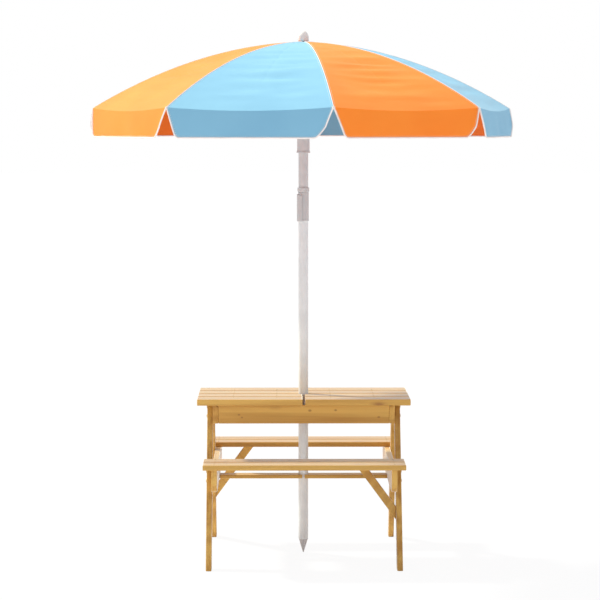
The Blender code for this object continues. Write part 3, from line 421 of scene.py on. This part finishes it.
def endRecipe(tree, geometry, material, extra=None):  # extra: a field, and its faces' material
    real = step(tree, "GeometryNodeRealizeInstances", {0: geometry}).outputs[0]
    inputs = {"Geometry": real, "Material": material}
    done = step(tree, "GeometryNodeSetMaterial", inputs).outputs[0]
    if extra:
        chosen, second = extra
        inputs = {"Geometry": done, "Selection": chosen, "Material": second}
        done = step(tree, "GeometryNodeSetMaterial", inputs).outputs[0]
    out = tree.nodes.new("NodeGroupOutput")
    tree.links.new(done, out.inputs[0])


# Stores a value on the mesh, for attributeOf or a material to read
def keep(tree, geometry, label, value, kind="FLOAT", domain="POINT"):
    made = step(tree, "GeometryNodeStoreNamedAttribute", data_type=kind, domain=domain)
    inputs = {"Geometry": geometry, "Name": label, "Value": value}
    for key, what in inputs.items():
        plug(tree, what, made.inputs[key])
    return made.outputs[0]


def attributeOf(tree, label, kind="BOOLEAN"):
    made = step(tree, "GeometryNodeInputNamedAttribute", {"Name": label}, data_type=kind)
    return made.outputs["Attribute"]


formulas = ("ADD", "SUBTRACT", "MULTIPLY", "DIVIDE", "POWER", "MULTIPLY_ADD", "MAXIMUM", "MINIMUM")


def formulasOf(tree):  # short forms of the sums that one tree is built with
    def form(operation):
        return lambda *values: calc(tree, operation, *values)

    return [form(name) for name in formulas]


def cook(name, recipe, settings, mesh=None):  # the recipe's result as a plain mesh
    piece = bpy.data.objects.new(name, mesh or bpy.data.meshes.new(name + "_start"))
    bpy.context.scene.collection.objects.link(piece)
    modifier = piece.modifiers.new("recipe", "NODES")
    modifier.node_group = recipe
    for item in recipe.interface.items_tree:
        if item.in_out == "INPUT" and item.name in settings:
            modifier[item.identifier] = settings[item.name]
    graph = bpy.context.evaluated_depsgraph_get()
    made = bpy.data.meshes.new_from_object(piece.evaluated_get(graph))
    piece.modifiers.remove(modifier)
    made.name = name
    piece.data = made
    return piece


def joinMeshes(name, pieces):  # one plain mesh out of several finished ones
    with bpy.context.temp_override(active_object=pieces[0], selected_editable_objects=pieces):
        bpy.ops.object.join()
    pieces[0].name = name
    return pieces[0]


canopy = {
    "Apex height": 1.684,
    "Rim radius": 0.688,
    "Hub radius": 0.0165,
    "Drop": 0.2167,  # from the apex to the rim, along the rib
    "Straight share": 0.0888,
    "Sag": 0.011,  # between two ribs
    "Sag curve": 1.5,
    "Bulge": 0.004,
    "Flap depth": 0.082,
    "Flap flare": 0.014,
    "Flap curve": 1.25,
    "Flap inset": 0.033,
    "Corner width": 0.036,
    "Corner rise": 0.010,
    "Seam gap": 0.0004,
    "Ripple": 0.0230,
    "Ripple end": 6.0,  # how suddenly the folds stop at the rim
    "Flap wave": 0.0065,
    "Roof rows": 56,
    "Flap rows": 8,
    "Columns": 20,
    "Column bias": 1.6,
    "Lap": 0.85,  # how far a half reaches past the middle at the top, under the other half
    "Lap drop": 0.0022,
    "Lap steepness": 10.0,
    "Lap end": 0.78,  # share of the radius
    "Fold spacing": (27.0, 3.6, 0.0),  # out and along the hem
    "Wave spacing": (12.0, 0.6, 5.0),  # along the hem and down the flap
    "Facing": 0.0,  # where the rib points, from the front towards +X
    "Side": 1.0,  # 1 for the half that lies past the rib, -1 for the half before it
    "Panel": 0,
    "Panel seed": 3.7,  # apart from the next panel's
    "Cloth": None,
}
ribCount = 8
halfPanel = math.pi / ribCount
firstRib = math.radians(7)  # from the front
clothThickness = 0.0010


def canopyPanelRecipe():  # half a panel, from the seam on its rib to the middle
    tree, ask = newRecipe("canopyPanel", canopy)
    add, subtract, multiply, divide, power, multiplyAdd, atLeast, atMost = formulasOf(tree)
    allRows = add(ask["Roof rows"], ask["Flap rows"])
    counts = {"Vertices X": add(ask["Columns"], 1.0), "Vertices Y": add(allRows, 1.0)}
    grid = step(tree, "GeometryNodeMeshGrid", {"Size X": 1.0, "Size Y": 1.0, **counts}).outputs[0]
    start = step(tree, "GeometryNodeInputPosition").outputs[0]
    spot = step(tree, "ShaderNodeSeparateXYZ", {0: start}).outputs
    across = power(add(spot["X"], 0.5), ask["Column bias"])  # 0 at the rib, 1 in the middle
    down = add(spot["Y"], 0.5)
    roofEnd = divide(ask["Roof rows"], allRows)
    roof = atMost(divide(down, roofEnd), 1.0)
    flap = atLeast(divide(subtract(down, roofEnd), subtract(1.0, roofEnd)), 0.0)
    radius = multiplyAdd(subtract(ask["Rim radius"], ask["Hub radius"]), roof, ask["Hub radius"])
    share = divide(radius, ask["Rim radius"])
    lap = subtract(1.0, power(divide(share, ask["Lap end"]), 2.0))
    lap = multiply(ask["Lap"], atLeast(lap, 0.0))
    beyond = multiply(across, add(lap, 1.0))  # past 1 in the lap
    arch = multiply(beyond, subtract(2.0, beyond))
    # A point lies on the chord between two ribs, in the panel's own directions: out and along
    out = multiply(radius, math.cos(halfPanel))
    out = multiplyAdd(multiply(arch, share), ask["Bulge"], out)
    away = subtract(1.0, power(subtract(1.0, flap), ask["Flap curve"]))
    out = multiplyAdd(away, ask["Flap flare"], out)
    edge = subtract(1.0, beyond)
    # A level hem: the flap is deeper beside the rib, where the roof sags less
    full = multiplyAdd(multiply(edge, edge), ask["Sag"], ask["Flap depth"])
    corner = atLeast(divide(subtract(ask["Corner width"], across), ask["Corner width"]), 0.0)
    deep = subtract(full, multiply(multiply(corner, corner), ask["Corner rise"]))
    inset = multiply(ask["Flap inset"], divide(deep, full))
    width = multiply(radius, math.sin(halfPanel))
    width = subtract(width, multiply(inset, flap))
    width = subtract(width, ask["Seam gap"])
    chord = multiply(width, edge)
    # Soft folds that run along the hem, and slow waves in the flap
    number = multiply(ask["Panel"], ask["Panel seed"])
    signed = multiply(chord, ask["Side"])
    where = vectorCalc(tree, "MULTIPLY", vectorOf(tree, out, signed), ask["Fold spacing"])
    fold = noise(tree, where, 1.0, 1.5, number)
    fold = multiply(subtract(fold, 0.5), multiply(ask["Ripple"], 2.0))
    fold = multiply(fold, multiply(arch, share))
    fold = multiply(fold, subtract(1.0, power(roof, ask["Ripple end"])))
    where = vectorCalc(tree, "MULTIPLY", vectorOf(tree, signed, flap, 1.0), ask["Wave spacing"])
    wave = noise(tree, where, 1.0, 1.0, number)
    wave = multiply(subtract(wave, 0.5), multiply(ask["Flap wave"], 2.0))
    out = multiplyAdd(wave, multiply(flap, arch), out)
    straight = multiply(ask["Straight share"], share)
    fall = multiplyAdd(subtract(1.0, ask["Straight share"]), multiply(share, share), straight)
    height = subtract(ask["Apex height"], multiply(ask["Drop"], fall))
    sagging = multiply(multiply(arch, power(share, ask["Sag curve"])), ask["Sag"])
    height = add(subtract(height, sagging), fold)
    under = multiply(atLeast(subtract(beyond, 1.0), 0.0), ask["Lap steepness"])
    under = atMost(under, 1.0)
    height = subtract(height, multiply(under, ask["Lap drop"]))
    height = subtract(height, multiply(flap, deep))
    # To the part's directions: +X is out for now, and the rib is halfPanel behind it
    place = vectorOf(tree, out, multiply(signed, -1.0), height)
    turn = multiplyAdd(ask["Side"], halfPanel, subtract(ask["Facing"], math.pi / 2))
    turning = {"Vector": place, "Angle": turn}
    turned = step(tree, "ShaderNodeVectorRotate", turning, rotation_type="Z_AXIS")
    lay = vectorOf(tree, chord, multiplyAdd(flap, ask["Flap depth"], radius))
    slack = 0.001  # far less than a row or a column
    atRib = calc(tree, "LESS_THAN", across, slack)
    low = calc(tree, "GREATER_THAN", down, subtract(roofEnd, slack))
    high = calc(tree, "LESS_THAN", down, add(roofEnd, slack))
    hem = atLeast(multiply(atRib, low), calc(tree, "GREATER_THAN", down, 1.0 - slack))
    cloth = keep(tree, grid, "weave", lay, "FLOAT2", "CORNER")
    cloth = keep(tree, cloth, "hem", hem, "BOOLEAN")
    cloth = keep(tree, cloth, "seam", multiply(atRib, high), "BOOLEAN")
    cloth = keep(tree, cloth, "rim", multiply(low, high), "BOOLEAN")
    moved = {"Geometry": cloth, "Position": turned.outputs[0]}
    cloth = step(tree, "GeometryNodeSetPosition", moved).outputs[0]
    behind = calc(tree, "GREATER_THAN", ask["Side"], 0.0)
    cloth = step(tree, "GeometryNodeFlipFaces", {"Mesh": cloth, "Selection": behind}).outputs[0]
    cloth = step(tree, "GeometryNodeSetShadeSmooth", {"Geometry": cloth}).outputs[0]
    crease = {"Geometry": cloth, "Selection": attributeOf(tree, "rim"), "Shade Smooth": False}
    cloth = step(tree, "GeometryNodeSetShadeSmooth", crease, domain="EDGE").outputs[0]
    endRecipe(tree, cloth, ask["Cloth"])
    return tree


def bindingRecipe():  # a round binding along one of the cloth's marked lines
    inputs = {"Line": "hem", "Thickness": 0.0034, "Sides": 8, "Cloth": None}
    tree, ask = newRecipe("clothBinding", inputs, takesMesh=True)
    chosen = attributeOf(tree, ask["Line"])
    edges = {"Mesh": ask["Mesh"], "Selection": chosen}
    line = step(tree, "GeometryNodeMeshToCurve", edges).outputs[0]
    radius = calc(tree, "MULTIPLY", ask["Thickness"], 0.5)
    size = {"Resolution": ask["Sides"], "Radius": radius}
    ring = step(tree, "GeometryNodeCurvePrimitiveCircle", size).outputs[0]
    sweep = {"Curve": line, "Profile Curve": ring, "Fill Caps": True}
    roll = step(tree, "GeometryNodeCurveToMesh", sweep).outputs[0]
    roll = step(tree, "GeometryNodeSetShadeSmooth", {"Geometry": roll}).outputs[0]
    endRecipe(tree, roll, ask["Cloth"])
    return tree


def stitchRecipe():  # a row of stitches beside one of the cloth's marked lines
    inputs = {
        "Line": "hem",
        "Middle": (0.0, 0.0, 0.0),
        "Inset": 0.005,
        "Spacing": 0.007,
        "Stitch": 0.0040,
        "Thread": 0.0007,
        "Stand": 0.3,  # how high the thread's middle lies, in threads
        "Yarn": None,
    }
    tree, ask = newRecipe("stitchRow", inputs, takesMesh=True)
    chosen = attributeOf(tree, ask["Line"])
    normal = step(tree, "GeometryNodeInputNormal").outputs[0]
    held = keep(tree, ask["Mesh"], "up", normal, "FLOAT_VECTOR")
    edges = {"Mesh": held, "Selection": chosen}
    line = step(tree, "GeometryNodeMeshToCurve", edges).outputs[0]
    spaced = {"Curve": line, "Length": ask["Spacing"]}
    row = step(tree, "GeometryNodeResampleCurve", spaced, mode="LENGTH").outputs[0]
    along = step(tree, "GeometryNodeInputTangent").outputs[0]
    up = attributeOf(tree, "up", "FLOAT_VECTOR")
    beside = vectorCalc(tree, "NORMALIZE", vectorCalc(tree, "CROSS_PRODUCT", along, up))
    spot = step(tree, "GeometryNodeInputPosition").outputs[0]
    toMiddle = vectorCalc(tree, "SUBTRACT", ask["Middle"], spot)
    inwards = vectorCalc(tree, "DOT_PRODUCT", beside, toMiddle)
    amount = calc(tree, "MULTIPLY", calc(tree, "SIGN", inwards), ask["Inset"])
    rise = stretch(tree, up, calc(tree, "MULTIPLY", ask["Thread"], ask["Stand"]))
    move = vectorCalc(tree, "ADD", stretch(tree, beside, amount), rise)
    dots = step(tree, "GeometryNodeSetPosition", {"Geometry": row, "Offset": move}).outputs[0]
    half = calc(tree, "MULTIPLY", ask["Thread"], 0.5)
    size = {"Vertices": 5, "Radius": half, "Depth": ask["Stitch"]}
    thread = step(tree, "GeometryNodeMeshCylinder", size).outputs[0]
    turned = step(tree, "FunctionNodeAlignRotationToVector", {"Vector": along}, axis="Z")
    placing = {"Points": dots, "Instance": thread, "Rotation": turned.outputs[0]}
    placed = step(tree, "GeometryNodeInstanceOnPoints", placing).outputs[0]
    endRecipe(tree, placed, ask["Yarn"])
    return tree


panelRecipe = canopyPanelRecipe()
bindRecipe = bindingRecipe()
rowRecipe = stitchRecipe()
edging = {
    "hem": 0.0050,  # thickness of the binding
    "seam": 0.0019,
    "inset": 0.0052,  # from the line to its stitches
    "flapMiddle": (0.655, 1.415),  # radius and height
    "roofMiddle": (0.60, 1.52),
    "keep": 0.24,  # share of its width that a half keeps when the ribs have folded
}
rounderCorner = {"Corner width": 0.100, "Corner rise": 0.034}


def facing(angle, radius):  # a point round the pole, from the front towards +X
    return Vector((math.sin(angle) * radius, -math.cos(angle) * radius, 0))


def trimHalf(half, rib, side):  # its bindings and its rows of stitches
    trims, threads = [], []
    angle = firstRib + 2 * halfPanel * rib + side * halfPanel
    for line, (reach, level) in (("hem", edging["flapMiddle"]), ("seam", edging["roofMiddle"])):
        if line == "hem" or side > 0:
            size = {"Line": line, "Thickness": edging[line], "Cloth": pipingCloth}
            trims.append(cook(f"{line}_{rib}_{side}", bindRecipe, size, half.data.copy()))
        middle = facing(angle, reach)
        middle.z = level
        size = {"Line": line, "Middle": tuple(middle), "Inset": edging["inset"]}
        size["Yarn"] = sewingThread
        threads.append(cook(f"thread_{line}_{rib}_{side}", rowRecipe, size, half.data.copy()))
    return trims, threads


def thickenHalf(half, under):
    # the underside gets the darker copy of the cloth, as painted shade
    half.data.materials.append(under)
    wall = half.modifiers.new("cloth", "SOLIDIFY")
    wall.thickness = clothThickness
    wall.offset = -1
    wall.material_offset = 1
    wall.use_rim = False  # the bindings close the edges, and two halves meet without a ridge


def makeCanopy():
    replaced = set()
    for rib in range(ribCount):
        angle = firstRib + 2 * halfPanel * rib
        body = f"rib_{rib + 1}"
        bindings, stitching = [], []
        for side in (1, -1):
            panel = rib if side > 0 else (rib - 1) % ribCount
            colour = ("orange", "blue")[panel % 2]
            cloth, under = ((orangeCloth, orangeShadedUnder), (blueCloth, blueShadedUnder))[panel % 2]
            settings = {**canopy, "Facing": angle, "Side": float(side), "Panel": panel}
            settings["Cloth"] = cloth
            if side < 0:  # the corner that the flap ends in is cut rounder than its first one
                settings.update(rounderCorner)
            half = cook(f"canopy_panel_{rib + 1}_{colour}", panelRecipe, settings)
            trims, threads = trimHalf(half, rib, side)
            bindings += trims
            stitching += threads
            thickenHalf(half, under)
            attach(half, body)
            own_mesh(half)
            if colour not in replaced:
                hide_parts("canopy_" + colour)
                replaced.add(colour)
        for name, made in (("binding", bindings), ("stitching", stitching)):
            piece = joinMeshes(f"canopy_{name}_{rib + 1}", made)
            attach(piece, body)
            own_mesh(piece)


makeCanopy()
print("Canopy sewn: 16 half panels with binding and stitches")


# Cloth patch under the panels' inner ends: it closes the top when the ribs fold

patch = {
    "inner": 0.0056,
    "outer": 0.034,
    "below": 0.0022,  # how far it lies under the panels
    "rings": 6,
    "steps": 48,
    "flat": (0.068, 0.068),
    "area": 0.0036,
}


def ringOf(bm, radius, height, steps):  # vertices on a level circle about the pole's axis
    points = [facing(2 * math.pi * turn / steps, radius) for turn in range(steps)]
    return [bm.verts.new((point.x, point.y, height)) for point in points]


def makeTopPatch():
    bm = bmesh.new()
    uv = bm.loops.layers.uv.new("weave")
    rings = []
    for ring in range(patch["rings"] + 1):
        radius = patch["inner"] + (patch["outer"] - patch["inner"]) * ring / patch["rings"]
        share = radius / canopy["Rim radius"]
        straight = canopy["Straight share"]
        fall = canopy["Drop"] * (straight * share + (1 - straight) * share * share)
        height = canopy["Apex height"] - fall - patch["below"]
        rings.append(ringOf(bm, radius, height, patch["steps"]))
    for inner, outer in zip(rings, rings[1:]):
        for turn in range(patch["steps"]):
            after = (turn + 1) % patch["steps"]
            face = bm.faces.new((inner[turn], outer[turn], outer[after], inner[after]))
            face.smooth = True
            for loop in face.loops:
                loop[uv].uv = loop.vert.co.xy
    bmesh.ops.recalc_face_normals(bm, faces=bm.faces)
    if bm.faces[0].normal.z < 0:
        bmesh.ops.reverse_faces(bm, faces=bm.faces)
    mesh = bpy.data.meshes.new("top_patch")
    bm.to_mesh(mesh)
    bm.free()
    mesh.materials.append(blueCloth)
    piece = bpy.data.objects.new("top_patch", mesh)
    bpy.context.scene.collection.objects.link(piece)
    wall = piece.modifiers.new("cloth", "SOLIDIFY")
    wall.thickness = clothThickness
    wall.offset = -1
    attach(piece, "mast")


makeTopPatch()
print("Patch set under the crown")


# Screws in the boards and bolts in the legs


def fastenerRecipe():  # a low head on each point, facing the point's aim, with a cross of two dark bars as painted shade in its recess
    inputs = {
        "Head radius": 0.0035,
        "Head rise": 0.0008,
        "Recess": 0.0042,
        "Recess width": 0.0009,
        "Recess height": 0.55,  # share of the head's rise
        "Metal": None,
        "Shade": None,
    }
    tree, ask = newRecipe("fastenerHead", inputs, takesMesh=True)
    round16 = {"Segments": 16, "Rings": 8, "Radius": ask["Head radius"]}
    ball = step(tree, "GeometryNodeMeshUVSphere", round16).outputs[0]
    flat = calc(tree, "DIVIDE", ask["Head rise"], ask["Head radius"])
    size = vectorOf(tree, 1.0, 1.0, flat)
    head = step(tree, "GeometryNodeTransform", {"Geometry": ball, "Scale": size}).outputs[0]
    head = step(tree, "GeometryNodeSetShadeSmooth", {"Geometry": head}).outputs[0]
    joined = tree.nodes.new("GeometryNodeJoinGeometry")
    for first, second in (("Recess", "Recess width"), ("Recess width", "Recess")):
        box = vectorOf(tree, ask[first], ask[second], ask["Head rise"])
        bar = step(tree, "GeometryNodeMeshCube", {"Size": box}).outputs[0]
        level = calc(tree, "MULTIPLY", ask["Head rise"], ask["Recess height"])
        lifted = {"Geometry": bar, "Translation": vectorOf(tree, z=level)}
        bar = step(tree, "GeometryNodeTransform", lifted).outputs[0]
        tree.links.new(bar, joined.inputs[0])
    # the cross bars' faces are marked here, and get the Shade material as painted shade
    recess = keep(tree, joined.outputs[0], "recess", True, "BOOLEAN", "FACE")
    whole = tree.nodes.new("GeometryNodeJoinGeometry")
    tree.links.new(recess, whole.inputs[0])
    tree.links.new(head, whole.inputs[0])
    aim = attributeOf(tree, "aim", "FLOAT_VECTOR")
    turned = step(tree, "FunctionNodeAlignRotationToVector", {"Vector": aim}, axis="Z")
    placing = {"Points": ask["Mesh"], "Instance": whole.outputs[0], "Rotation": turned.outputs[0]}
    placed = step(tree, "GeometryNodeInstanceOnPoints", placing).outputs[0]
    endRecipe(tree, placed, ask["Metal"], (attributeOf(tree, "recess"), ask["Shade"]))
    return tree


headRecipe = fastenerRecipe()


def pointCloud(name, places):  # each place is a point and the direction that the head faces
    mesh = bpy.data.meshes.new(name)
    mesh.from_pydata([tuple(point) for point, _ in places], [], [])
    aim = mesh.attributes.new("aim", "FLOAT_VECTOR", "POINT")
    for item, (_, direction) in zip(aim.data, places):
        item.vector = direction
    return mesh


def fasten(name, body, places, slot, metal, **sizes):
    settings = {"Metal": metal, "Shade": recessShadePaint, **sizes}
    piece = cook(name, headRecipe, settings, pointCloud(name, places))
    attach(piece, body)


screws = {"Head radius": 0.0030, "Head rise": 0.0005, "Recess": 0.0036, "Recess width": 0.0008}
bolts = {"Head radius": 0.0075, "Head rise": 0.0026, "Recess": 0.0060, "Recess width": 0.0013}
screwPlaces = {
    "topReach": 0.024,  # across a slat, from its middle
    "seatReach": 0.020,
    "lastRow": 0.118,  # the top's screws lie within this distance of its middle
}
boltHeights = (0.268, 0.297, 0.468, 0.496)  # two in the bearer, two in the sandbox's end
legLine = {"foot": 0.350, "run": 0.2355, "rise": 0.509, "halfWidth": 0.0275}


def middleOf(name):  # and the height of its upper face
    low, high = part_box(name)
    return (low + high) / 2, high.z


def screwTops():
    for side in ("left", "right"):
        places = []
        for batten in ("inner", "outer"):
            x = middleOf(f"top_batten_{side}_{batten}")[0].x
            for number in range(1, 5):
                centre, top = middleOf(f"top_slat_{side}_{number}")
                for way in (-1, 1):
                    y = centre.y + way * screwPlaces["topReach"]
                    if abs(y) < screwPlaces["lastRow"]:
                        places.append((Vector((x, y, top)), (0, 0, 1)))
        fasten(f"top_screws_{side}", f"top_{side}", places, "pine", screwBrass, **screws)


def screwSeats():
    places = []
    for depth in ("front", "rear"):
        for number in (1, 2):
            centre, top = middleOf(f"seat_slat_{depth}_{number}")
            for bearer in ("bearer_left", "bearer_right"):
                x = middleOf(bearer)[0].x
                for way in (-1, 1):
                    y = centre.y + way * screwPlaces["seatReach"]
                    places.append((Vector((x, y, top)), (0, 0, 1)))
    fasten("table_screws", "table", places, "pine", screwBrass, **screws)


def boltLegs():
    places = []
    for side, sign in (("left", -1), ("right", 1)):
        for depth, way in (("front", -1), ("rear", 1)):
            low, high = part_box(f"leg_{depth}_{side}")
            face = low.x if sign < 0 else high.x
            for z in boltHeights:
                middle = legLine["foot"] - legLine["run"] * z / legLine["rise"]
                y = way * (middle - legLine["halfWidth"])
                places.append((Vector((face, y, z)), (sign, 0, 0)))
    fasten("leg_bolts", "table", places, "pine", screwBrass, **bolts)


screwTops()
screwSeats()
boltLegs()
print("Screws and bolts set")


# Rib ends

ribEnd = {
    "radius": 0.0042,
    "length": 0.014,
    "edge": 0.002,
    "ballRadius": 0.0052,
    "ballStart": 0.15,  # share of the half turn that the sleeve hides
    "ballSteps": 8,
    "slope": -0.60,
}


def lathe(name, profile, steps=20):  # a closed shape of revolution about Z, from its foot up
    bm = bmesh.new()
    rings = []
    for radius, z in profile:
        rings.append(ringOf(bm, radius, z, steps if radius else 1))  # one point on the axis
    for lower, upper in zip(rings, rings[1:]):
        for turn in range(steps):
            after = (turn + 1) % steps
            corners = []
            for ring, index in ((lower, turn), (lower, after), (upper, after), (upper, turn)):
                vert = ring[index % len(ring)]
                if vert not in corners:
                    corners.append(vert)
            bm.faces.new(corners).smooth = True
    bmesh.ops.recalc_face_normals(bm, faces=bm.faces)
    mesh = bpy.data.meshes.new(name)
    bm.to_mesh(mesh)
    bm.free()
    return mesh


def settle(name, mesh, material, body):
    mesh.materials.append(material)
    piece = bpy.data.objects.new(name, mesh)
    bpy.context.scene.collection.objects.link(piece)
    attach(piece, body)


def ribEndProfile():  # a sleeve with a chamfered edge, then the ball
    radius, length, edge = ribEnd["radius"], ribEnd["length"], ribEnd["edge"]
    profile = [(0, -length), (radius * 0.8, -length), (radius, edge - length), (radius, -edge)]
    ball, first, steps = ribEnd["ballRadius"], ribEnd["ballStart"], ribEnd["ballSteps"]
    for turn in range(1, steps + 1):
        lean = math.pi * (first + (1 - first) * turn / steps)
        profile.append((ball * math.sin(lean), -ball * math.cos(lean)))
    profile[-1] = (0, profile[-1][1])
    return profile


def makeRibEnds():
    for rib in range(ribCount):
        name = f"rib_{rib + 1}"
        angle = firstRib + 2 * halfPanel * rib
        outward = facing(angle, 1)
        points = [vertex.co for vertex in cad[name].data.vertices]
        reach = max(point.dot(outward) for point in points)
        last = [point for point in points if point.dot(outward) > reach - ribEnd["edge"]]
        tip = sum(last, Vector()) / len(last)
        slope = Vector((outward.x, outward.y, ribEnd["slope"])).normalized()
        mesh = lathe(f"rib_end_{rib + 1}", ribEndProfile())
        toRib = slope.to_track_quat("Z", "Y").to_matrix().to_4x4()
        mesh.transform(Matrix.Translation(tip) @ toRib)
        settle(f"rib_end_{rib + 1}", mesh, jointPlastic, name)


makeRibEnds()
print("Rib ends fitted")


# Floor, light and camera


def whiteShare(tree):  # the camera, gloss and glass see white, and nothing is lit by it
    path = step(tree, "ShaderNodeLightPath")
    seen = calc(tree, "MAXIMUM", path.outputs["Is Camera Ray"], path.outputs["Is Glossy Ray"])
    return calc(tree, "MAXIMUM", seen, path.outputs["Is Transmission Ray"])


backdrop = {
    "reach": 60,
    "height": -0.001,
    "colour": (0.86, 0.83, 0.88, 1),
    "whiteness": 0.93,  # the rest keeps the shadow
}


def makeFloor():
    mesh = bpy.data.meshes.new("floor")
    reach, height = backdrop["reach"], backdrop["height"]
    square = ((-1, -1), (1, -1), (1, 1), (-1, 1))
    corners = [(x * reach, y * reach, height) for x, y in square]
    mesh.from_pydata(corners, [], [(0, 1, 2, 3)])
    material = bpy.data.materials.new("paleFloor")
    material.use_nodes = True
    tree = material.node_tree
    tree.nodes.clear()
    matt = step(tree, "ShaderNodeBsdfDiffuse", {"Color": backdrop["colour"]})
    glow = step(tree, "ShaderNodeEmission", {"Color": (1, 1, 1, 1), "Strength": 1.0})
    share = calc(tree, "MULTIPLY", whiteShare(tree), backdrop["whiteness"])
    mix = step(tree, "ShaderNodeMixShader", {0: share, 1: matt.outputs[0], 2: glow.outputs[0]})
    out = tree.nodes.new("ShaderNodeOutputMaterial")
    tree.links.new(mix.outputs[0], out.inputs[0])
    mesh.materials.append(material)
    floor = bpy.data.objects.new("floor", mesh)
    bpy.context.scene.collection.objects.link(floor)


light = {
    "sunTravel": (0.90, -0.56, -1.0),
    "sunStrength": 4.2,
    "sunAngle": math.radians(6),
    "sunColour": (0.97, 1.0, 0.86),
    "skyStrength": 0.66,
    "skyColour": (0.96, 0.98, 1.0, 1),
    "panelSize": 5.0,  # the soft panel overhead
    "panelHeight": 5.0,
    "panelPower": 40.0,
}


def makeLight():
    sun = bpy.data.lights.new("sun", "SUN")
    sun.energy = light["sunStrength"]
    sun.angle = light["sunAngle"]
    sun.color = light["sunColour"]
    lamp = bpy.data.objects.new("sun", sun)
    bpy.context.scene.collection.objects.link(lamp)
    lamp.rotation_euler = Vector(light["sunTravel"]).to_track_quat("-Z", "Y").to_euler()
    panel = bpy.data.lights.new("softPanel", "AREA")
    panel.size = light["panelSize"]
    panel.energy = light["panelPower"]
    overhead = bpy.data.objects.new("softPanel", panel)
    overhead.location.z = light["panelHeight"]
    overhead.visible_camera = False
    bpy.context.scene.collection.objects.link(overhead)
    world = bpy.data.worlds.new("softSky")
    world.use_nodes = True
    tree = world.node_tree
    tree.nodes.clear()
    tinted = {"Color": light["skyColour"], "Strength": light["skyStrength"]}
    sky = step(tree, "ShaderNodeBackground", tinted)
    white = step(tree, "ShaderNodeBackground", {"Color": (1, 1, 1, 1), "Strength": 1.0})
    ways = {0: whiteShare(tree), 1: sky.outputs[0], 2: white.outputs[0]}
    mix = step(tree, "ShaderNodeMixShader", ways)
    out = tree.nodes.new("ShaderNodeOutputWorld")
    tree.links.new(mix.outputs[0], out.inputs[0])
    bpy.context.scene.world = world


eye = {
    "place": (-0.0791, -8.0618, 1.4218),
    "target": (-0.01106, 0.0, 0.83809),
    "lens": 147.34,
    "sensor": 36.0,
}


def makeCamera():
    data = bpy.data.cameras.new("camera")
    data.lens = eye["lens"]
    data.sensor_width = eye["sensor"]
    camera = bpy.data.objects.new("camera", data)
    bpy.context.scene.collection.objects.link(camera)
    camera.location = eye["place"]
    look = Vector(eye["target"]) - Vector(eye["place"])
    camera.rotation_euler = look.to_track_quat("-Z", "Y").to_euler()
    bpy.context.scene.camera = camera


makeFloor()
makeLight()
makeCamera()
bpy.context.scene.view_settings.view_transform = "Standard"
print("Stage set")
